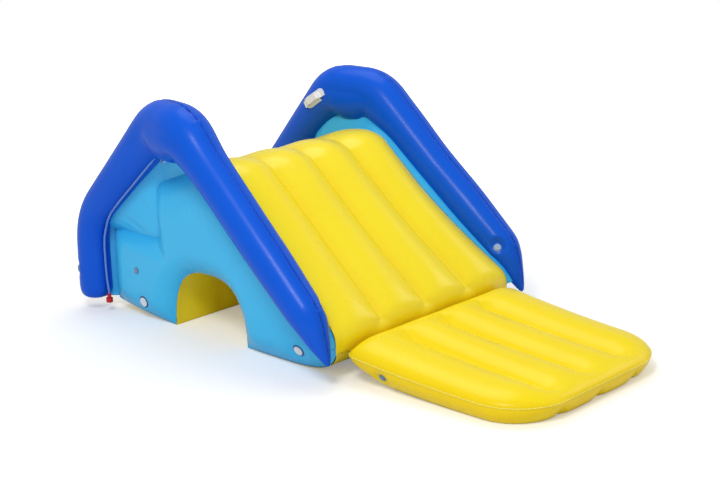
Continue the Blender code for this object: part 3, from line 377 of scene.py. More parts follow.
def vinyl(name, colour, shade, roughness, sheen=0.16):
    """Glossy coated vinyl: faint clouding and grain, and fine puckers and painted shade by every
    weld.
    """
    material = bpy.data.materials.new(name)
    tree, out = nodes_of(material)
    place = put_node(tree, "ShaderNodeTexCoord").outputs["Object"]
    away = put_node(tree, "ShaderNodeAttribute", attribute_name="weld_away").outputs["Fac"]
    along = put_node(tree, "ShaderNodeAttribute", attribute_name="weld_along").outputs["Fac"]
    near = put_node(tree, "ShaderNodeMapRange", {
        "Value": away, "From Max": WELD_PUCKER_AND_SHADE_REACH, "To Min": 1.0, "To Max": 0.0,
    }, interpolation_type="SMOOTHSTEP").outputs["Result"]
    cloud = put_node(tree, "ShaderNodeTexNoise", {
        "Vector": place, "Scale": 3.5, "Detail": 3.0,
    }).outputs["Fac"]
    clouded = put_node(tree, "ShaderNodeMath", {0: cloud, 1: CLOUD_TINT}, operation="MULTIPLY")
    # Beside each weld the colour turns towards the shade colour, a painted shade in the weld's
    # crease; the clouding turns it at random, a real unevenness of tone.
    depth = put_node(tree, "ShaderNodeMath", {
        0: near, 1: WELD_CREASE_SHADE, 2: clouded.outputs[0],
    }, operation="MULTIPLY_ADD")
    tint = put_node(tree, "ShaderNodeMix", {
        "A": (*colour, 1.0), "B": (*shade, 1.0), "Factor": depth.outputs[0],
    }, data_type="RGBA")
    gloss = put_node(tree, "ShaderNodeMapRange", {
        "Value": cloud, "To Min": roughness - 0.05, "To Max": roughness + 0.07,
    })
    grain = put_node(tree, "ShaderNodeTexNoise", {"Vector": place, "Scale": 900.0, "Detail": 2.0})
    fine = put_node(tree, "ShaderNodeBump", {
        "Height": grain.outputs["Fac"], "Strength": 0.05, "Distance": 0.0004,
    })
    strip = put_node(tree, "ShaderNodeCombineXYZ", {"X": along, "Y": away})
    scaled = put_node(tree, "ShaderNodeMapping", {
        "Vector": strip.outputs[0], "Scale": PUCKER_SCALE,
    })
    tucks = put_node(tree, "ShaderNodeTexNoise", {
        "Vector": scaled.outputs[0], "Scale": 1.0, "Detail": 2.0,
    })
    tuck_height = put_node(tree, "ShaderNodeMath", {
        0: tucks.outputs["Fac"], 1: near,
    }, operation="MULTIPLY")
    puckers = put_node(tree, "ShaderNodeBump", {
        "Height": tuck_height.outputs[0], "Normal": fine.outputs[0],
        "Strength": 0.45, "Distance": 0.004,
    })
    shader = put_node(tree, "ShaderNodeBsdfPrincipled", {
        "Base Color": tint.outputs["Result"], "Roughness": gloss.outputs["Result"],
        "Normal": puckers.outputs[0], "Specular IOR Level": sheen,
        "Coat Weight": 0.07, "Coat Roughness": 0.14,
    })
    tree.links.new(shader.outputs[0], out.inputs["Surface"])
    return material


def finish_skin(mesh, material, body, node):
    """Skin of an air chamber: given its wall, its vinyl, and its place in the frame."""
    piece = bpy.data.objects.new(mesh.name, mesh)
    bpy.context.scene.collection.objects.link(piece)
    mesh.materials.append(material)
    wall = piece.modifiers.new("wall", "SOLIDIFY")
    wall.thickness = SKIN
    wall.offset = -1.0
    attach(piece, body)
    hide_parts(node)


def lobes_across(places):
    """Height share of the lobes at places across the body: 0 on each weld, 1 between two."""
    share = np.mod((places + BODY_HALF_WIDTH) / LOBE_PITCH, 1.0)
    arc = 1.0 - (2.0 * share - 1.0) ** 2
    return np.sqrt(arc * arc + LOBE_SOFTNESS) - LOBE_SINK


def from_ribs(places):
    """Distance of places across the body from the nearest weld of a rib or an edge."""
    half = LOBE_PITCH / 2.0
    return np.abs(np.mod(places + BODY_HALF_WIDTH + half, LOBE_PITCH) - half)


def deck_rows():
    """Points of the deck, with how far along and from the nearest weld each lies."""
    path = evenly(rounded(DECK_CORNERS, DECK_CUTS), SKIN_STEP)
    travelled = lengths(path)
    total = travelled[-1]
    across = np.linspace(-BODY_HALF_WIDTH, BODY_HALF_WIDTH, DECK_ACROSS)
    peak = travelled[np.argmin(np.abs(path[:, 0] - PEAK_X))]
    bend = travelled[np.argmin(np.abs(path[:, 0] - BEND_X))]
    weld_stop = total - WELD_END
    s, y = np.meshgrid(travelled, across, indexing="ij")

    # The lobes, held down at the ribs as far as the welds go.
    crown = CREST_LOBE + (SLOPE_LOBE - CREST_LOBE) * eased(s, peak, bend + LOBE_CHANGE)
    crown *= swell(s, RISER_ROUND) * soft_swell(total - s, TOE_ROUND)
    outer_half = np.abs(y) > BODY_HALF_WIDTH - LOBE_PITCH / 2.0
    let_go = eased(s, weld_stop - WELD_END_FADE / 2, weld_stop + WELD_END_FADE)
    held = np.where(outer_half, 1.0, 1.0 - let_go)
    height = crown * (1.0 - (1.0 - lobes_across(y)) * held)

    # Dents and gathers along each rib.
    for line in RIB_LINES:
        offset = y - line * LOBE_PITCH
        behind = s - weld_stop
        reach = np.hypot(offset, behind)
        height -= FAN_DIP * FAN_DEPTH * np.exp(-(reach / FAN_CORE) ** 2)
        height += FAN_DEPTH * dent_fan(offset, behind, FAN_REACH, FAN_CORE)
        height -= BEND_DENT * np.exp(
            -((s - bend) / BEND_DENT_ALONG) ** 2 - (offset / BEND_DENT_ACROSS) ** 2
        )
        height += gathers(s, np.abs(offset), RIB_GATHERS, 11 + line)

    # The margins beside the rails, and the sheet's own unevenness.
    side = BODY_HALF_WIDTH - np.abs(y)
    margin = CREST_LOBE * MARGIN_SHARE * (1.0 - eased(s, bend, bend + MARGIN_RUN))
    height += margin * swell(side, MARGIN_ROUND) * np.exp(-(side / MARGIN_REACH) ** 2)
    edge = gathers(s + EDGE_SIDES_APART * (y > 0), side, EDGE_GATHERS, 21)
    height += edge * swell(side, EDGE_GATHERS_ROUND)
    height += uneven(s + DECK_UNEVEN_SLANT * y, DECK_UNEVEN, 22) * swell(side, DECK_UNEVEN_ROUND)

    rows = raised(path, outward(path), y * (1.0 + flare(path[:, :1]) / BODY_HALF_WIDTH), height)
    to_line = from_ribs(y)
    past_weld = eased(s, weld_stop, weld_stop + OFF_RIB_RUN) * (side > LOBE_PITCH / 2.0)
    away = np.minimum(to_line + OFF_RIB * past_weld, total - s)
    along = np.where(total - s < to_line, y + CROSS_WELD, s)
    return rows, along, away


yellow_vinyl = vinyl("yellow_vinyl", DECK_YELLOW, DECK_SHADE, 0.26, 0.34)
deck_points, deck_along, deck_away = deck_rows()
deck_mesh = skin_mesh("deck_skin", deck_points, flip=True)
note_weld(deck_mesh, deck_along, deck_away)
finish_skin(deck_mesh, yellow_vinyl, "slide_body", "slide_deck")


# Rear of the body: riser, step tread and rear wall, each a yellow sheet drawn into four lobes by
# the same ribs as the deck, then the floor sheets of the two legs, flat where they lie on the
# ground, and the lining of the tunnel between the legs.
WALL_LOBE = 0.016
WALL_FADE = 0.060
WALL_ACROSS = 129
WALL_GATHERS = (0.0012, 0.024, 0.025)
TUNNEL_REAR_X = -0.6875
TUNNEL_FRONT_X = -0.2355
TUNNEL_HEIGHT = 0.272
ARCH_POWER = 2.6
ARCH_STEPS = 241
LINING_LOBE = 0.006
LINING_ROUND = 0.05
LINING_UNEVEN = (0.0015, 0.09)
LINING_UNEVEN_SLANT = 0.4
LINING_GROUND = 0.0006
WALLS = (
    ("riser_skin", "crest_riser", ((STEP_X, STEP_Z), (STEP_X, RISER_TOP_Z)), 31),
    ("tread_skin", "step_tread", ((REAR_X, STEP_Z), (STEP_X, STEP_Z)), 32),
    ("rear_wall_skin", "rear_wall", ((REAR_X, HEEL_Z), (REAR_X, STEP_Z)), 33),
)
REAR_LEG_POWER = 1.6
FRONT_LEG_POWER = 7.0
LEG_STEPS = 81
LEG_ACROSS = 97
LEG_GROUND = 0.0004
LEG_FLARE_ROUND = 0.165
LEG_FLOORS = (
    ("rear_floor_skin", "rear_base", (TUNNEL_REAR_X, 0.0), (REAR_X, HEEL_Z), REAR_LEG_POWER),
    ("front_floor_skin", "front_base", (TUNNEL_FRONT_X, 0.0), (TOE_X, TOE_Z), FRONT_LEG_POWER),
)


def lobed_wall(name, node, corners, seed):
    """Straight sheet with the body's four lobes, welded flat at both ends."""
    path = evenly(np.array(corners, float), SKIN_STEP)
    travelled = lengths(path)
    across = np.linspace(-BODY_HALF_WIDTH, BODY_HALF_WIDTH, WALL_ACROSS)
    s, y = np.meshgrid(travelled, across, indexing="ij")
    ends = soft_swell(s, WALL_FADE) * soft_swell(travelled[-1] - s, WALL_FADE)
    to_line = from_ribs(y)
    height = WALL_LOBE * ends * lobes_across(y) + gathers(s, to_line, WALL_GATHERS, seed) * ends
    mesh = skin_mesh(name, raised(path, outward(path), y, height), flip=True)
    end = np.minimum(s, travelled[-1] - s)
    note_weld(mesh, np.where(end < to_line, y + CROSS_WELD, s), np.minimum(end, to_line))
    finish_skin(mesh, yellow_vinyl, "slide_body", node)


def leg_floor(name, node, foot, end, power):
    """Floor sheet of a leg, flat on the ground and curling up to the body's end."""
    share = np.linspace(0.0, 1.0, LEG_STEPS)
    path = np.stack([
        foot[0] + (end[0] - foot[0]) * share, foot[1] + (end[1] - foot[1]) * share ** power,
    ], axis=1)
    across = np.linspace(-BODY_HALF_WIDTH, BODY_HALF_WIDTH, LEG_ACROSS)
    s, y = np.meshgrid(lengths(path), across, indexing="ij")
    to_end = np.hypot(path[:, :1] - end[0], path[:, 1:] - end[1])
    spread = float(flare(end[0])) * (1.0 - soft_swell(to_end, LEG_FLARE_ROUND))
    rows = np.empty((*s.shape, 3))
    rows[..., 0] = path[:, :1]
    rows[..., 1] = y * (1.0 + spread / BODY_HALF_WIDTH)
    rows[..., 2] = np.maximum(path[:, 1:], LEG_GROUND)
    mesh = skin_mesh(name, rows, flip=end[0] < foot[0])
    note_weld(mesh, s, np.minimum(s.max() - s, BODY_HALF_WIDTH - np.abs(y)))
    finish_skin(mesh, yellow_vinyl, "slide_body", node)


def arch_points(shares):
    """Points of the tunnel's arch, from its rear foot at 0 to its front foot at 1."""
    angle = math.pi * np.asarray(shares, float)
    half_span = (TUNNEL_FRONT_X - TUNNEL_REAR_X) / 2.0
    middle = (TUNNEL_FRONT_X + TUNNEL_REAR_X) / 2.0
    reach = half_span * np.abs(np.cos(angle)) ** (2.0 / ARCH_POWER)
    x = middle - np.sign(np.cos(angle)) * reach
    z = TUNNEL_HEIGHT * np.abs(np.sin(angle)) ** (2.0 / ARCH_POWER)
    return np.stack([x, z], axis=1)


def line_tunnel():
    """Tunnel lining, slightly drawn in by the ribs."""
    path = evenly(arch_points(np.linspace(0.0, 1.0, ARCH_STEPS)), SKIN_STEP)
    across = np.linspace(-BODY_HALF_WIDTH, BODY_HALF_WIDTH, WALL_ACROSS)
    s, y = np.meshgrid(lengths(path), across, indexing="ij")
    ends = swell(np.minimum(s, s.max() - s), LINING_ROUND)
    height = LINING_LOBE * lobes_across(y) * ends
    height += uneven(s + LINING_UNEVEN_SLANT * y, LINING_UNEVEN, 41) * ends
    rows = raised(path, -outward(path), y, height)
    rows[..., 2] = np.maximum(rows[..., 2], LINING_GROUND)
    mesh = skin_mesh("lining_skin", rows)
    note_weld(mesh, s, from_ribs(y))
    finish_skin(mesh, yellow_vinyl, "slide_body", "tunnel_lining")


for wall in WALLS:
    lobed_wall(*wall)
for leg in LEG_FLOORS:
    leg_floor(*leg)
line_tunnel()


# Side panels: light-blue sheets that close the body. Each bulges between the tunnel's arch and the
# body's outline, and is welded flat along both. Ports and the body valve sit in flat seats on them.
PANEL_EDGE = 0.0008
PANEL_CROWN = 0.0532
PANEL_ARCH_ROUND = 0.105
PANEL_LEG_ROUND = 0.100
PANEL_RIM_ROUND = 0.165
PANEL_REAR_ROUND = 0.105
PANEL_ROUND_CHANGE = (-1.5, 1.0)
PANEL_FLOOR = 0.004
PANEL_TOP_SHARE = 0.895
PANEL_UPWARD = 65
PANEL_GATHERS_HEIGHT = 0.0016
PANEL_GATHERS_WAVE = 0.030
PANEL_GATHERS_REACH = 0.035
PANEL_GATHERS_ROUND = 0.02
PANEL_UNEVEN = (0.0012, 0.16)
PANEL_UNEVEN_SLANT = 0.7
# Marks of the outline, as shares of the rear wall, tread, riser, slope and nose, and for each mark
# the share of the arch that it is joined to. MARK_LENGTH is about what lies between two marks.
REAR_SHARES = (0.0, 0.12, 0.35, 0.6, 0.85, 1.0)
TREAD_SHARES = (0.35, 0.7, 1.0)
RISER_SHARES = (0.35, 0.7)
SLOPE_SHARES = (
    0.0, 0.04, 0.08, 0.16, 0.24, 0.30, 0.35, 0.40, 0.48, 0.57, 0.66, 0.75, 0.84, 0.93, 1.0,
)
NOSE_SHARES = (0.93, 0.965, 1.0)
ARCH_SHARES = (
    0.0, 0.035, 0.08, 0.13, 0.18, 0.22, 0.25, 0.28, 0.31, 0.34, 0.37, 0.39, 0.41, 0.43, 0.46,
    0.48, 0.50, 0.52, 0.55, 0.58, 0.62, 0.66, 0.71, 0.76, 0.81, 0.86, 0.91, 0.96, 1.0,
)
MARK_LENGTH = 0.11
OUTLINE_SPLITS = 8
OUTLINE_SMOOTHING = 14
SKY_BLUE = (0.060, 0.57, 0.95)
# The panels' and webs' shade colour: painted shade in their weld creases, and their clouding.
SKY_SHADE = (0.030, 0.42, 0.82)
SIDES = (("right", -1.0), ("left", 1.0))
FITTING_PROUD = 0.0035
SEAT_MARGIN = 0.004
SEAT_FADE = 0.028
SEAT_DEPTH = 0.060
SAME_WAY = 0.999


def press_seats(points, *pairs, seat_side=1.0):
    """Draw a skin level with the seat of each fitting, found from the fitting's and cap's solids.

    seat_side is 1 where a fitting faces away from the middle plane, -1 where it faces the lane.
    """
    for fitting, cap in pairs:
        solids = [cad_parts[name] for name in (fitting, cap)]
        own, lid = [
            np.array([solid.matrix_world @ point.co for point in solid.data.vertices])
            for solid in solids
        ]
        # The axis is the direction that most of the cap's area faces, turned to the outside.
        faces = solids[1].data.polygons
        turns = solids[1].matrix_world.to_3x3()
        normals = np.array([turns @ face.normal for face in faces])
        areas = np.array([face.area for face in faces])
        shared = areas @ (normals @ normals.T > SAME_WAY)
        axis = normals[np.argmax(shared)]
        aside_y = (lid.max(axis=0) + lid.min(axis=0)) / 2.0 * (0.0, 1.0, 0.0)
        axis = axis * np.sign(axis @ aside_y * seat_side)
        aside_x = np.cross(axis, (0.0, 0.0, 1.0))
        aside_x /= np.linalg.norm(aside_x)
        basis = np.stack([axis, aside_x, np.cross(aside_x, axis)])
        placed = own @ basis.T
        low, high = placed.min(axis=0), placed.max(axis=0)
        radius = (high[1] - low[1]) / 2.0
        middle = (low + high) / 2.0
        middle[0] = high[0] - FITTING_PROUD
        offset = points - middle @ basis
        height = offset @ axis
        aside = np.linalg.norm(offset - height[..., None] * axis, axis=-1)
        core = radius + SEAT_MARGIN
        hold = (1.0 - eased(aside, core, core + SEAT_FADE)) * (np.abs(height) < SEAT_DEPTH)
        points -= (height * hold)[..., None] * axis


def soften(values, passes):
    """Average each inner value or point with its neighbours, in place, so many times."""
    for _ in range(passes):
        values[1:-1] = (values[:-2] + 2.0 * values[1:-1] + values[2:]) / 4.0


def at_marks(stations, marks):
    """Points between marks, station 0 being the first mark and station 1 the second."""
    numbers = np.arange(len(marks))
    return np.stack([np.interp(stations, numbers, marks[:, k]) for k in (0, 1)], axis=1)


def outline_points():
    """Outer edge of a side panel, from heel over crest to toe, with softened corners."""
    slope = rounded(DECK_CORNERS, DECK_CUTS)
    total = lengths(slope)[-1]
    marks = [(REAR_X, HEEL_Z + (STEP_Z - HEEL_Z) * share) for share in REAR_SHARES]
    marks += [(REAR_X + (STEP_X - REAR_X) * share, STEP_Z) for share in TREAD_SHARES]
    marks += [(STEP_X, STEP_Z + (RISER_TOP_Z - STEP_Z) * share) for share in RISER_SHARES]
    first = len(marks)
    last = first + len(SLOPE_SHARES) - 1
    marks += [(0.0, 0.0)] * len(SLOPE_SHARES)
    nose = at_lengths(slope, np.array(NOSE_SHARES) * total)
    marks = np.concatenate([marks, nose])
    count = (len(marks) - 1) * OUTLINE_SPLITS + 1
    stations = np.arange(count) / OUTLINE_SPLITS
    slope_shares = np.interp(stations, np.arange(first, last + 1), SLOPE_SHARES)
    on_slope = at_lengths(slope, slope_shares * PANEL_TOP_SHARE * total)
    marks[first] = on_slope[first * OUTLINE_SPLITS]
    marks[last] = on_slope[last * OUTLINE_SPLITS]
    line = at_marks(stations, marks)
    inside = (stations >= first) & (stations <= last)
    line[inside] = on_slope[inside]
    soften(line, OUTLINE_SMOOTHING)
    return stations, line


def panel_rows(side):
    """Points of a side panel between arch and outline, with their place by the nearest weld."""
    stations, outline = outline_points()
    shares = np.interp(stations, np.arange(len(ARCH_SHARES)), ARCH_SHARES)
    arch = arch_points(shares)
    arch[:, 1] = np.maximum(arch[:, 1], PANEL_FLOOR)
    across = 0.5 - 0.5 * np.cos(np.linspace(0.0, math.pi, PANEL_UPWARD))
    share = np.broadcast_to(across, (len(stations), len(across)))
    x = arch[:, :1] + (outline[:, :1] - arch[:, :1]) * share
    z = arch[:, 1:] + (outline[:, 1:] - arch[:, 1:]) * share
    for leg, power in ((0, REAR_LEG_POWER), (len(stations) - 1, FRONT_LEG_POWER)):
        bent = arch[leg, 1] + (outline[leg, 1] - arch[leg, 1]) * across ** power
        weight = np.clip(1.0 - np.abs(stations - stations[leg]), 0.0, 1.0)[:, None]
        z = z * (1.0 - weight) + bent * weight
    span = np.hypot(x[:, -1:] - x[:, :1], z[:, -1:] - z[:, :1])
    to_rear = np.hypot(x - x[0], z - z[0])
    to_front = np.hypot(x - x[-1], z - z[-1])
    to_arch = share * span
    to_rim = (1.0 - share) * span
    to_edge = np.minimum(to_arch, to_rim)
    to_leg = np.minimum(to_rear, to_front)
    leg_end = len(REAR_SHARES) - 1.0
    past_rear = eased(stations, *(leg_end + change for change in PANEL_ROUND_CHANGE))
    rim_round = PANEL_REAR_ROUND + (PANEL_RIM_ROUND - PANEL_REAR_ROUND) * past_rear
    rim = soft_swell(to_rim / rim_round[:, None], 1.0)
    crown = soft_swell(to_arch, PANEL_ARCH_ROUND) * rim
    crown = crown * soft_swell(to_leg, PANEL_LEG_ROUND)
    travelled = np.broadcast_to(stations[:, None] * MARK_LENGTH, x.shape)
    tucks = ripple(travelled, PANEL_GATHERS_WAVE, 51) * np.exp(-to_edge / PANEL_GATHERS_REACH)
    tucks = tucks * swell(to_edge, PANEL_GATHERS_ROUND)
    y = BODY_HALF_WIDTH + PANEL_EDGE + PANEL_CROWN * crown + PANEL_GATHERS_HEIGHT * tucks
    bumps = uneven(x + z * PANEL_UNEVEN_SLANT, PANEL_UNEVEN, 52) * crown
    y += bumps + flare(outline[:, :1]) * (1.0 - rim)
    rows = np.stack([x, side * y, z], axis=-1)
    return rows, travelled, np.minimum(to_edge, to_leg)


sky_vinyl = vinyl("sky_blue_vinyl", SKY_BLUE, SKY_SHADE, 0.26, 0.26)
for word, side in SIDES:
    panel_points, panel_along, panel_away = panel_rows(side)
    for place in ("rear", "front"):
        press_seats(panel_points, (f"{place}_port_{word}", f"{place}_plug_{word}"))
    if side < 0.0:
        press_seats(panel_points, ("body_valve", "body_valve_cap"))
    panel_mesh = skin_mesh("panel_skin_" + word, panel_points, flip=side > 0.0)
    note_weld(panel_mesh, panel_along, panel_away)
    finish_skin(panel_mesh, sky_vinyl, "slide_body", "side_panel_" + word)


# Rails: a royal-blue tube on each side, made of two sheets welded along its outer and inner lines.
# It stands behind the step, bends over beside the crest and runs down the slope to a pointed end.
# The photograph shows the two a little different, so each has its own corners on the slope.
# A corner holds x, y, z and the tube's radius, and a ring of the tip x, z and radius.
RAIL_REAR = (
    (-1.1415, 0.546, 0.120, 0.071), (-1.1415, 0.546, 0.422, 0.071), (-0.6625, 0.513, 0.901, 0.100),
)
RAIL_FRONT = {
    "right": (
        (-0.4460, 0.566, 0.902, 0.102), (-0.3120, 0.572, 0.776, 0.085),
        (0.0725, 0.587, 0.433, 0.082), (0.2473, 0.594, 0.278, 0.074),
    ),
    "left": (
        (-0.4560, 0.566, 0.892, 0.101), (-0.1500, 0.578, 0.610, 0.092),
        (0.0685, 0.587, 0.429, 0.090), (0.2473, 0.594, 0.278, 0.077),
    ),
}
RAIL_CUTS = (0.120, 0.066, 0.064, 0.080, 0.080)
RAIL_FOOT_Z = 0.054
FOOT_HEIGHT_SHARES = (0.0, 0.03, 0.10, 0.22, 0.36, 0.55, 0.78)
FOOT_RADIUS_SHARES = (0.10, 0.42, 0.66, 0.82, 0.91, 0.97, 0.995)
TIP_RINGS = (
    (0.2770, 0.238, 0.0640), (0.3003, 0.194, 0.0500), (0.3260, 0.152, 0.0330),
    (0.3440, 0.120, 0.0190), (0.3540, 0.103, 0.0090), (0.3570, 0.098, 0.0030),
)
RAIL_STEP = 0.004
RAIL_SIDES = 64
RAIL_SMOOTHING = 40
FOOT_UNSMOOTHED = (0.10, 0.17)
TIP_UNSMOOTHED = (0.01, 0.06)
SEAM_ANGLES = (0.018, 0.040, 0.070)
# The tube is fuller on its inner side at the apex. LOWEST_APEX keeps the foot out of the search
# for it, and FAR is a distance longer than the slide.
APEX_X = -0.5615
LOWEST_APEX = 0.8
FAR = 9.0
APEX_FULLNESS = 0.052
APEX_REACH = 0.17
APEX_POWER = 1.2
# Tucks and gathers grow with the tube's bend, up to a full bend of so many radians a metre.
BEND_SMOOTHING = 60
FULL_BEND = 5.0
TUCK_WAVE = 0.034
TUCK_DEPTH = 0.0022
TUCK_POWER = 3
TUCK_DRIFT = (1.3, 0.08)
SEAM_GROOVE = 0.0026
SEAM_GROOVE_WIDTH = 0.004
ROOT_GROOVE = 0.0022
ROOT_GROOVE_WIDTH = 0.006
SEAM_GATHERS = 0.0005
SEAM_GATHERS_BENT = 0.0026
SEAM_GATHERS_POWER = 1.5
SEAM_GATHERS_WAVE = 0.011
SEAM_GATHERS_REACH = 0.014
RAIL_UNEVEN = (0.0012, 0.17)
RAIL_UNEVEN_TWIST = 0.05
RAIL_UNEVEN_FROM = 0.05
RAIL_THINNEST = 0.0008
ROYAL_BLUE = (0.003, 0.108, 0.72)
# The rails' shade colour: painted shade in their weld creases, and their clouding.
ROYAL_SHADE = (0.001, 0.065, 0.53)


def rail_line(side):
    """Centre line of a rail with the tube's radius, from foot to tip: columns x, y, z, radius."""
    corners = RAIL_REAR + RAIL_FRONT["right" if side < 0.0 else "left"]
    foot, shin = corners[0], corners[-1]
    line = []
    for up, wide in zip(FOOT_HEIGHT_SHARES, FOOT_RADIUS_SHARES):
        height = RAIL_FOOT_Z + (foot[2] - RAIL_FOOT_Z) * up
        line.append((foot[0], foot[1], height, foot[3] * wide))
    line += rounded(corners, RAIL_CUTS).tolist()
    line += [(x, shin[1], z, wide) for x, z, wide in TIP_RINGS]
    line = np.array(line)
    line[:, 1] *= side
    return line


def rail_frame(side):
    """Even rings along a rail: centre and radius, direction, and directions out and sideways."""
    line = evenly(rail_line(side), RAIL_STEP)
    travelled = lengths(line)
    soft = line.copy()
    soften(soft, RAIL_SMOOTHING)
    past_foot = eased(travelled, *FOOT_UNSMOOTHED)
    before_tip = eased(travelled[-1] - travelled, *TIP_UNSMOOTHED)
    kept = (past_foot * before_tip)[:, None]
    line = line * (1.0 - kept) + soft * kept
    run = np.gradient(line[:, :3], axis=0)
    run /= np.linalg.norm(run, axis=1, keepdims=True)
    out = np.stack([-run[:, 2], np.zeros(len(run)), run[:, 0]], axis=1)
    out /= np.linalg.norm(out, axis=1, keepdims=True)
    wide = np.cross(run, out)
    wide *= np.sign(wide[:, 1:2]) * side
    return line, run, out, wide


def rail_rings(side):
    """Rings of a rail's skin. Angle 0 looks away from the body in the rail's own plane."""
    line, run, out, wide = rail_frame(side)
    travelled = lengths(line)
    bend = np.linalg.norm(np.gradient(run, axis=0), axis=1) / np.gradient(travelled)
    soften(bend, BEND_SMOOTHING)
    angle = np.linspace(0.0, 2.0 * math.pi, RAIL_SIDES, endpoint=False)
    extra = [
        centre + turn * away for centre in (0.0, math.pi) for turn in (-1.0, 1.0)
        for away in SEAM_ANGLES
    ]
    angle = np.sort(np.concatenate([angle, np.mod(extra, 2.0 * math.pi)]))
    s, phi = np.meshgrid(travelled, angle, indexing="ij")
    radius = np.broadcast_to(line[:, 3:4], s.shape)
    inner = np.clip(-np.cos(phi), 0.0, 1.0)
    outer = np.clip(np.cos(phi), 0.0, 1.0)
    bent = np.clip(bend / FULL_BEND, 0.0, 1.0)[:, None] * np.ones_like(s)
    from_seam = radius * np.minimum(phi, 2.0 * math.pi - phi)
    from_root = radius * np.abs(phi - math.pi)
    from_apex = np.abs(line[:, 0] - APEX_X) + FAR * (line[:, 2] < LOWEST_APEX)
    apex = travelled[np.argmin(from_apex)]
    bulge = APEX_FULLNESS * np.exp(-((s - apex) / APEX_REACH) ** 2)
    thick = radius + bulge * inner ** APEX_POWER
    drift, drift_wave = TUCK_DRIFT
    folds = np.cos(2.0 * math.pi * s / TUCK_WAVE + drift * ripple(s, drift_wave, 61))
    thick = thick - TUCK_DEPTH * bent * inner ** TUCK_POWER * (0.5 - 0.5 * folds)
    thick = thick - SEAM_GROOVE * np.exp(-(from_seam / SEAM_GROOVE_WIDTH) ** 2)
    thick = thick - ROOT_GROOVE * np.exp(-(from_root / ROOT_GROOVE_WIDTH) ** 2)
    small = SEAM_GATHERS + SEAM_GATHERS_BENT * bent ** SEAM_GATHERS_POWER
    gathered = gathers(s, from_seam, (small, SEAM_GATHERS_WAVE, SEAM_GATHERS_REACH), 62)
    thick = thick + gathered * outer
    waves = uneven(s + RAIL_UNEVEN_TWIST * phi, RAIL_UNEVEN, 63)
    thick = thick + waves * (radius > RAIL_UNEVEN_FROM)
    thick = np.maximum(thick, RAIL_THINNEST)
    rows = line[:, None, :3] + out[:, None, :] * (thick * np.cos(phi))[..., None]
    rows = rows + wide[:, None, :] * (thick * np.sin(phi))[..., None]
    return rows, s, np.minimum(from_seam, from_root)


def close_ends(mesh):
    """Fill the open rings at both ends of a tube."""
    edit = bmesh.new()
    edit.from_mesh(mesh)
    bmesh.ops.holes_fill(edit, edges=[edge for edge in edit.edges if edge.is_boundary])
    bmesh.ops.recalc_face_normals(edit, faces=edit.faces)
    edit.to_mesh(mesh)
    edit.free()
    mesh.shade_smooth()


def add_piece(mesh, material, body, slot, *nodes):
    """Solid piece with its finish, riding on a body and standing for the named nodes."""
    piece = bpy.data.objects.new(mesh.name, mesh)
    bpy.context.scene.collection.objects.link(piece)
    mesh.materials.clear()
    mesh.materials.append(material)
    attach(piece, body)
    if nodes:
        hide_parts(*nodes)
    return piece


royal_vinyl = vinyl("royal_blue_vinyl", ROYAL_BLUE, ROYAL_SHADE, 0.30, 0.12)
for word, side in SIDES:
    rail_points, rail_along, rail_away = rail_rings(side)
    for place, seat_side in (("rear", 1.0), ("front", -1.0)):
        valve = (f"rail_{place}_valve_{word}", f"rail_{place}_valve_cap_{word}")
        press_seats(rail_points, valve, seat_side=seat_side)
    rail_mesh = skin_mesh("rail_skin_" + word, rail_points, closed=True)
    note_weld(rail_mesh, rail_along, rail_away)
    close_ends(rail_mesh)
    rail = add_piece(rail_mesh, royal_vinyl, "slide_body", "royal_vinyl", "rail_" + word)


# Webs: a single light-blue sheet on each side, welded to the body's edge and to the inner line of
# the rail, which it holds up. It is not inflated, so it lies nearly flat with soft pulls in it.
# Each point of the body's edge, but for a few at both ends, is led out to the rail from the pole.
WEB_POLE = np.array((-0.6815, 0.280))
WEB_TUCK = 0.012
WEB_FOOT_TUCK = 0.004
WEB_LEAD_START = -0.42
WEB_LEAD_END = -0.22
WEB_SKIPS_REAR = 2
WEB_SKIPS_FRONT = 4
WEB_LINE_STEP = 0.002
WEB_SMOOTHING = 6
WEB_ACROSS = 29
WEB_BELLY = -0.008
WEB_FULL_WIDTH = 0.12
WEB_PULLS = ((0.004, 0.07), (0.0016, 0.023))
WEB_SHEET = 0.0016


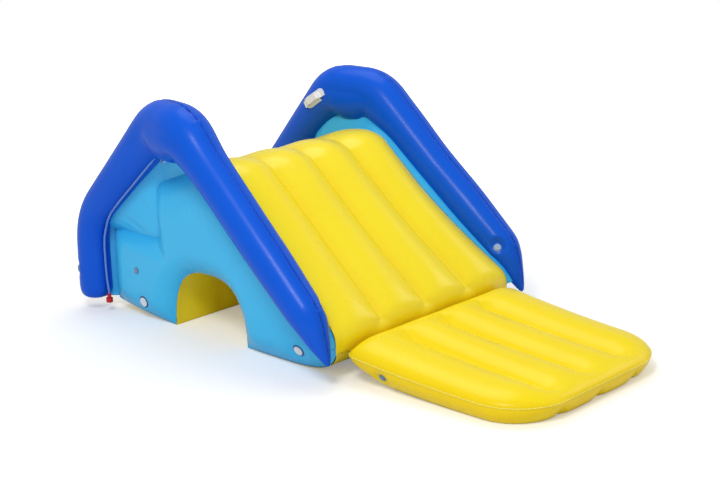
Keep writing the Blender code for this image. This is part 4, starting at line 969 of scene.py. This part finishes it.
def web_rows(side):
    """Sheet between body and rail, each point of the body's edge led to its place on the rail."""
    stations, outline = outline_points()
    normals = outward(outline)
    fine = evenly(rail_line(side), WEB_LINE_STEP)
    travelled = lengths(fine)
    leg_end = len(REAR_SHARES) - 1
    first, last = WEB_SKIPS_REAR, len(outline) - WEB_SKIPS_FRONT
    places = []
    for index in range(first, last):
        point = outline[index]
        near = travelled[np.argmin(np.hypot(fine[:, 0] - point[0], fine[:, 2] - point[1]))]
        sight = (point - WEB_POLE) / np.linalg.norm(point - WEB_POLE)
        offset = fine[:, (0, 2)] - WEB_POLE
        aside = np.abs(offset @ np.array((-sight[1], sight[0])))
        aside[offset @ sight < 0.0] = FAR
        past = travelled[np.argmin(aside)]
        share = 1.0 - np.clip(stations[index] - leg_end, 0.0, 1.0)
        share = max(share, float(eased(point[0], WEB_LEAD_START, WEB_LEAD_END)))
        places.append(past + (near - past) * share)
    places = np.maximum.accumulate(places)
    soften(places, WEB_SMOOTHING)
    centres = at_lengths(fine, places)
    foot_y = side * (BODY_HALF_WIDTH + PANEL_EDGE + flare(outline[first:last, 0]))
    low = np.stack([outline[first:last, 0], foot_y, outline[first:last, 1]], axis=1)
    low -= np.insert(normals[first:last], 1, 0.0, axis=1) * WEB_FOOT_TUCK
    away = low - centres[:, :3]
    away /= np.linalg.norm(away, axis=1, keepdims=True)
    high = centres[:, :3] + away * np.maximum(centres[:, 3:4] - WEB_TUCK, 0.0)
    shares = np.linspace(0.0, 1.0, WEB_ACROSS)
    rows = low[:, None, :] + (high - low)[:, None, :] * shares[:, None]
    wide = np.linalg.norm(high - low, axis=1)[:, None]
    along = np.broadcast_to(lengths(high)[:, None], rows.shape[:2])
    pull = np.sin(math.pi * shares) * np.clip(wide / WEB_FULL_WIDTH, 0.0, 1.0)
    coarse, fine_pulls = WEB_PULLS
    lie = WEB_BELLY + uneven(along, coarse, 71) + uneven(along, fine_pulls, 72)
    rows[..., 1] += side * pull * lie
    return rows, along, np.minimum(shares, 1.0 - shares) * wide


for word, side in SIDES:
    web_points, web_along, web_away = web_rows(side)
    web_mesh = skin_mesh("web_sheet_" + word, web_points, flip=side < 0.0)
    note_weld(web_mesh, web_along, web_away)
    web = add_piece(web_mesh, sky_vinyl, "slide_body", "sky_vinyl", "rail_web_" + word)
    sheet = web.modifiers.new("sheet", "SOLIDIFY")
    sheet.thickness = WEB_SHEET
    sheet.offset = 0.0


# Run-out mat: a flat yellow pillow hinged to the toe. Three inner ribs hold its top down in long
# grooves that stop short of both ends, and its underside is flat where it lies on the ground.
MAT_REAR_X = 0.3505
MAT_LENGTH = 0.862
MAT_FRONT_X = MAT_REAR_X + MAT_LENGTH
MAT_HALF_WIDTH = 0.505
MAT_FRONT_HALF_WIDTH = 0.462
MAT_REAR_SEAM_Z = 0.119
MAT_FRONT_SEAM_Z = 0.070
MAT_REAR_CROWN = 0.068
MAT_FRONT_CROWN = 0.048
MAT_UNDER_CROWN = 0.130
MAT_UNDER_ROUND = 0.200
MAT_GROUND = 0.0003
MAT_FRONT_CORNER = 0.225
MAT_REAR_CORNER = 0.050
MAT_EDGE_ROUND = 0.140
MAT_EDGE_POWER = 0.58
MAT_FRONT_ROUND = 0.190
MAT_REAR_ROUND = 0.085
# Rows of points lie closer together at the front and the rear, and points closer at the sides.
MAT_ROWS = 121
MAT_FRONT_ROWS = (0.26, 30)
MAT_FRONT_SPREAD = 3.0
MAT_REAR_ROWS = (0.22, 20)
MAT_ROW_GAP = 0.0012
MAT_ACROSS = 141
MAT_SIDE_CLOSENESS = 0.35
# Grooves over the ribs, with a sharp crease at the bottom and a small fan of dents at each end.
MAT_GROOVE_Y = 0.2308
MAT_GROOVE_SHARE = 0.74
MAT_CREASE = 0.008
MAT_CREASE_REACH = 0.012
GROOVE_START = 0.060
GROOVE_START_FADE = (-0.050, 0.090)
GROOVE_STOP = 0.055
GROOVE_STOP_FADE = (-0.045, 0.060)
NOTCH_SHARE = 0.45
NOTCH_REACH = 0.07
MAT_FAN_DEPTH = 0.0014
MAT_FAN_REACH = 0.055
MAT_FAN_CORE = 0.016
MAT_FAN_DIP = 0.0010
MAT_FAN_DIP_REACH = 0.015
MAT_GROOVE_GATHERS = (0.0005, 0.020, 0.020)
MAT_RIM_GATHERS = (0.0008, 0.028, 0.030)
MAT_RIM_GATHERS_ROUND = 0.012
MAT_CROSS_WELD = 7.0
MAT_MERGE = 0.0002
MAT_YELLOW = (0.95, 0.76, 0.005)
# The mat's shade colour: painted shade along its rim weld, and its clouding.
MAT_SHADE = (0.90, 0.60, 0.003)


def mat_outline(x):
    """Half width and height of the mat's seam at places along it."""
    share = (x - MAT_REAR_X) / MAT_LENGTH
    half = MAT_HALF_WIDTH + (MAT_FRONT_HALF_WIDTH - MAT_HALF_WIDTH) * share
    ahead = np.clip(x - (MAT_FRONT_X - MAT_FRONT_CORNER), 0.0, MAT_FRONT_CORNER)
    behind = np.clip(MAT_REAR_X + MAT_REAR_CORNER - x, 0.0, MAT_REAR_CORNER)
    half += np.sqrt(MAT_FRONT_CORNER ** 2 - ahead ** 2) - MAT_FRONT_CORNER
    half += np.sqrt(MAT_REAR_CORNER ** 2 - behind ** 2) - MAT_REAR_CORNER
    seam = MAT_FRONT_SEAM_Z + (MAT_REAR_SEAM_Z - MAT_FRONT_SEAM_Z) * (1.0 - share) ** 2
    return half, seam


def mat_rows():
    """Points of the mat's top and underside, with their place by the nearest weld."""
    shares = np.unique(np.concatenate([
        np.linspace(0.0, 1.0, MAT_ROWS),
        1.0 - np.linspace(0.0, *MAT_FRONT_ROWS) ** 2 * MAT_FRONT_SPREAD,
        np.linspace(0.0, *MAT_REAR_ROWS) ** 2,
    ]))
    shares = shares[np.concatenate([[True], np.diff(shares) > MAT_ROW_GAP])]
    x = MAT_REAR_X + MAT_LENGTH * shares
    half, seam = mat_outline(x)
    turn = np.sin(np.linspace(-math.pi / 2.0, math.pi / 2.0, MAT_ACROSS))
    even = np.linspace(-1.0, 1.0, MAT_ACROSS)
    across = MAT_SIDE_CLOSENESS * turn + (1.0 - MAT_SIDE_CLOSENESS) * even
    xs = np.broadcast_to(x[:, None], (len(x), len(across)))
    ys = half[:, None] * across
    from_rear = xs - MAT_REAR_X
    to_front = MAT_FRONT_X - xs
    to_end = np.minimum(from_rear, to_front)
    to_side = half[:, None] - np.abs(ys)
    away = np.minimum(to_side, to_end)
    along = np.where(to_side < to_end, xs, ys + MAT_CROSS_WELD)

    # The crown, drawn down over the ribs.
    crown = (MAT_REAR_CROWN + (MAT_FRONT_CROWN - MAT_REAR_CROWN) * shares)[:, None]
    front_end = soft_swell(to_front, MAT_FRONT_ROUND) ** MAT_EDGE_POWER
    ends = swell(from_rear, MAT_REAR_ROUND) * front_end
    edge = ends * soft_swell(to_side, MAT_EDGE_ROUND) ** MAT_EDGE_POWER
    held = eased(from_rear, *(GROOVE_START + fade for fade in GROOVE_START_FADE))
    held = held * eased(to_front, *(GROOVE_STOP + fade for fade in GROOVE_STOP_FADE))
    groove = np.zeros_like(xs)
    crease = np.zeros_like(xs)
    for line in RIB_LINES:
        offset = np.abs(ys - line * MAT_GROOVE_Y)
        dip = np.clip(1.0 - offset / (MAT_GROOVE_Y / 2.0), 0.0, 1.0) ** 2
        groove = np.maximum(groove, dip)
        crease = np.maximum(crease, np.exp(-offset / MAT_CREASE_REACH))
    height = crown * (1.0 - MAT_GROOVE_SHARE * held * groove) * edge
    height -= MAT_CREASE * held * edge * crease

    # Gathers and dents along each groove, and gathers round the rim.
    for line in RIB_LINES:
        offset = ys - line * MAT_GROOVE_Y
        height += gathers(xs, np.abs(offset), MAT_GROOVE_GATHERS, 81 + line) * held
        for stop, ahead in ((GROOVE_START, from_rear), (GROOVE_STOP, to_front)):
            reach = np.hypot(offset, ahead - stop)
            height -= MAT_FAN_DIP * np.exp(-(reach / MAT_FAN_DIP_REACH) ** 2)
            fan = dent_fan(offset, stop - ahead, MAT_FAN_REACH, MAT_FAN_CORE)
            height += MAT_FAN_DEPTH * fan * edge
    rim = gathers(along, away, MAT_RIM_GATHERS, 84) * swell(to_side, MAT_RIM_GATHERS_ROUND)
    height += rim * ends

    # The underside, drawn up a little where a groove meets the front.
    seams = np.broadcast_to(seam[:, None], xs.shape)
    under_ends = swell(to_end, MAT_UNDER_ROUND)
    notch = 1.0 - NOTCH_SHARE * groove ** 2 * np.exp(-to_front / NOTCH_REACH)
    drop = MAT_UNDER_CROWN * under_ends * swell(to_side, MAT_UNDER_ROUND) * notch
    top = np.stack([xs, ys, seams + height], axis=-1)
    under = np.stack([xs, ys, np.maximum(seams - drop, MAT_GROUND)], axis=-1)
    return top, under, along, away


def pillow_mesh(name, top, under, along, away):
    """Closed skin from a top and an underside that share their rim."""
    upper = skin_mesh(name, top, flip=True)
    lower = skin_mesh(name + "_under", under)
    note_weld(upper, along, away)
    note_weld(lower, along, away)
    edit = bmesh.new()
    edit.from_mesh(upper)
    edit.from_mesh(lower)
    bpy.data.meshes.remove(lower)
    bmesh.ops.remove_doubles(edit, verts=edit.verts, dist=MAT_MERGE)
    bmesh.ops.holes_fill(edit, edges=[item for item in edit.edges if item.is_boundary])
    bmesh.ops.recalc_face_normals(edit, faces=edit.faces)
    edit.to_mesh(upper)
    edit.free()
    upper.shade_smooth()
    return upper


mat_vinyl = vinyl("mat_yellow_vinyl", MAT_YELLOW, MAT_SHADE, 0.26, 0.20)
mat_parts = mat_rows()
for mat_sheet in mat_parts[:2]:
    press_seats(mat_sheet, ("mat_valve", "mat_valve_cap"))
mat_mesh = pillow_mesh("mat_skin", *mat_parts)
mat = add_piece(mat_mesh, mat_vinyl, "mat", "mat_vinyl", "runout_mat")


# Weld beads: where two sheets are heat-welded edge to edge, a narrow ridge with small regular
# steps runs round the rails' outer line and round the rim of the mat.
RAIL_BEAD = {
    "Ridge Radius": 0.0013, "Step Spacing": 0.011, "Step Length": 0.0075, "Step Radius": 0.0018,
}
MAT_BEAD = {
    "Ridge Radius": 0.0019, "Step Spacing": 0.020, "Step Length": 0.012, "Step Radius": 0.0028,
}
BEAD_SINK = 0.0015
BEAD_SIDES = 6
BEAD_FROM_RADIUS = 0.02
RIM_INSET = 0.0005
RIM_POINTS = 140
RIM_FRONT_POINTS = (0.3, 40)


def bead_tree():
    """Geometry nodes that lay a ridge with regular steps along a line."""
    tree = bpy.data.node_groups.new("weld_bead", "GeometryNodeTree")
    face = tree.interface
    face.new_socket("Geometry", in_out="INPUT", socket_type="NodeSocketGeometry")
    for label in RAIL_BEAD:
        face.new_socket(label, in_out="INPUT", socket_type="NodeSocketFloat")
    face.new_socket("Finish", in_out="INPUT", socket_type="NodeSocketMaterial")
    face.new_socket("Geometry", in_out="OUTPUT", socket_type="NodeSocketGeometry")
    given = put_node(tree, "NodeGroupInput").outputs
    line = put_node(tree, "GeometryNodeMeshToCurve", {"Mesh": given["Geometry"]}).outputs["Curve"]
    ring = put_node(tree, "GeometryNodeCurvePrimitiveCircle", {
        "Resolution": BEAD_SIDES, "Radius": given["Ridge Radius"],
    })
    ridge = put_node(tree, "GeometryNodeCurveToMesh", {
        "Curve": line, "Profile Curve": ring.outputs["Curve"], "Fill Caps": True,
    })
    spots = put_node(tree, "GeometryNodeResampleCurve", {
        "Curve": line, "Length": given["Step Spacing"],
    }, mode="LENGTH")
    step = put_node(tree, "GeometryNodeMeshCylinder", {
        "Vertices": BEAD_SIDES, "Radius": given["Step Radius"], "Depth": given["Step Length"],
    })
    tangent = put_node(tree, "GeometryNodeInputTangent")
    aim = put_node(tree, "FunctionNodeAlignEulerToVector", {
        "Vector": tangent.outputs["Tangent"],
    }, axis="Z")
    steps = put_node(tree, "GeometryNodeInstanceOnPoints", {
        "Points": spots.outputs["Curve"], "Instance": step.outputs["Mesh"],
        "Rotation": aim.outputs["Rotation"],
    })
    real = put_node(tree, "GeometryNodeRealizeInstances", {"Geometry": steps.outputs["Instances"]})
    both = put_node(tree, "GeometryNodeJoinGeometry")
    tree.links.new(ridge.outputs["Mesh"], both.inputs["Geometry"])
    tree.links.new(real.outputs["Geometry"], both.inputs["Geometry"])
    finish = put_node(tree, "GeometryNodeSetMaterial", {
        "Geometry": both.outputs["Geometry"], "Material": given["Finish"],
    })
    put_node(tree, "NodeGroupOutput", {"Geometry": finish.outputs["Geometry"]})
    return tree


def lay_bead(name, points, sizes, material, body, slot, closed=False):
    """Lay a bead along points, as a plain mesh that rides on a body."""
    edges = [(index, index + 1) for index in range(len(points) - 1)]
    if closed:
        edges.append((len(points) - 1, 0))
    guide_mesh = bpy.data.meshes.new(name + "_guide")
    guide_mesh.from_pydata([tuple(point) for point in points], edges, [])
    guide = bpy.data.objects.new(name + "_guide", guide_mesh)
    bpy.context.scene.collection.objects.link(guide)
    making = guide.modifiers.new("bead", "NODES")
    making.node_group = weld_bead
    inputs = {**sizes, "Finish": material}
    for item in weld_bead.interface.items_tree:
        if item.in_out == "INPUT" and item.name in inputs:
            making[item.identifier] = inputs[item.name]
    bpy.context.view_layer.update()
    graph = bpy.context.evaluated_depsgraph_get()
    mesh = bpy.data.meshes.new_from_object(guide.evaluated_get(graph))
    mesh.name = name
    bpy.data.objects.remove(guide)
    bpy.data.meshes.remove(guide_mesh)
    mesh.shade_smooth()
    add_piece(mesh, material, body, slot)


weld_bead = bead_tree()
# The rails' bead is a darker navy than the rail: a painted shade of the seam groove it lies in.
royal_weld_painted_shade = vinyl("royal_blue_weld_painted_shade", (0.002, 0.055, 0.46), (0.001, 0.035, 0.34), 0.38)
for word, side in SIDES:
    line, _, out, _ = rail_frame(side)
    ring = line[:, 3] > BEAD_FROM_RADIUS
    seam_radius = line[ring, 3:4] - SEAM_GROOVE - BEAD_SINK + RAIL_BEAD["Ridge Radius"]
    ridge = line[ring, :3] + out[ring] * seam_radius
    lay_bead("rail_weld_" + word, ridge, RAIL_BEAD, royal_weld_painted_shade, "slide_body", "royal_vinyl")

rim_rear, rim_front = MAT_REAR_X + RIM_INSET, MAT_FRONT_X - RIM_INSET
rim_x = np.unique(np.concatenate([
    np.linspace(rim_rear, rim_front, RIM_POINTS),
    rim_front - np.linspace(0.0, *RIM_FRONT_POINTS) ** 2,
]))
rim_half, rim_seam = mat_outline(rim_x)
rim_right = np.stack([rim_x, -rim_half, rim_seam], axis=1)
rim_left = np.stack([rim_x, rim_half, rim_seam], axis=1)[::-1]
rim = np.concatenate([rim_right, rim_left])
mat_weld = vinyl("mat_yellow_weld", (0.98, 0.86, 0.16), (0.94, 0.78, 0.08), 0.36)
lay_bead("mat_weld", rim, MAT_BEAD, mat_weld, "mat", "mat_vinyl", closed=True)


# Moulded fittings: handles, ports with their plugs, valves with their caps, the water line's hose,
# coupling, nut and nozzle, and the welded ribs and flanges. Each keeps its own shape from the
# frame. The table holds the finish's name, colour, roughness and clearness, and the frame's nodes.
FITTINGS = (
    ("white_plastic", (0.86, 0.88, 0.95), 0.34, 0.0, (
        "handle_left_pad", "handle_right_pad", "handle_left_grip", "handle_right_grip",
        "spray_nozzle",
    )),
    ("white_plug", (0.90, 0.91, 0.93), 0.30, 0.0, (
        "front_plug_left", "front_plug_right", "rear_plug_left", "rear_plug_right",
    )),
    ("navy_plastic", (0.010, 0.055, 0.22), 0.32, 0.0, (
        "front_port_left", "front_port_right", "rear_port_left", "rear_port_right",
    )),
    ("clear_valve", (0.26, 0.42, 0.66), 0.26, 0.35, (
        "body_valve", "mat_valve", "rail_front_valve_left", "rail_front_valve_right",
        "rail_rear_valve_left", "rail_rear_valve_right", "body_valve_cap", "mat_valve_cap",
        "rail_front_valve_cap_left", "rail_front_valve_cap_right",
        "rail_rear_valve_cap_left", "rail_rear_valve_cap_right",
    )),
    ("lilac_hose", (0.20, 0.34, 0.80), 0.30, 0.15, ("sprinkler_hose",)),
    ("red_coupling", (0.62, 0.012, 0.020), 0.30, 0.0, ("hose_coupling", "coupling_nut")),
    ("rib_yellow", (0.80, 0.62, 0.02), 0.42, 0.0, (
        "baffle_left", "baffle_middle", "baffle_right", "body_flange", "mat_flange",
    )),
)


def moulded(name, colour, roughness, clear):
    """Moulded plastic with faint flow marks and a fine satin grain."""
    material = bpy.data.materials.new(name)
    tree, out = nodes_of(material)
    place = put_node(tree, "ShaderNodeTexCoord").outputs["Object"]
    flow = put_node(tree, "ShaderNodeTexNoise", {
        "Vector": place, "Scale": 60.0, "Detail": 3.0,
    }).outputs["Fac"]
    tint = put_node(tree, "ShaderNodeMix", {
        "A": (*[part * 0.90 for part in colour], 1.0), "B": (*colour, 1.0), "Factor": flow,
    }, data_type="RGBA")
    gloss = put_node(tree, "ShaderNodeMapRange", {
        "Value": flow, "To Min": roughness - 0.05, "To Max": roughness + 0.08,
    })
    grain = put_node(tree, "ShaderNodeTexNoise", {"Vector": place, "Scale": 1600.0})
    bump = put_node(tree, "ShaderNodeBump", {
        "Height": grain.outputs["Fac"], "Strength": 0.08, "Distance": 0.0002,
    })
    shader = put_node(tree, "ShaderNodeBsdfPrincipled", {
        "Base Color": tint.outputs["Result"], "Roughness": gloss.outputs["Result"],
        "Normal": bump.outputs[0], "Transmission Weight": clear, "Specular IOR Level": 0.40,
    })
    tree.links.new(shader.outputs[0], out.inputs["Surface"])
    return material


for finish, colour, roughness, clear, names in FITTINGS:
    material = moulded(finish, colour, roughness, clear)
    for name in names:
        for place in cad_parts[name].material_slots:
            place.material = material
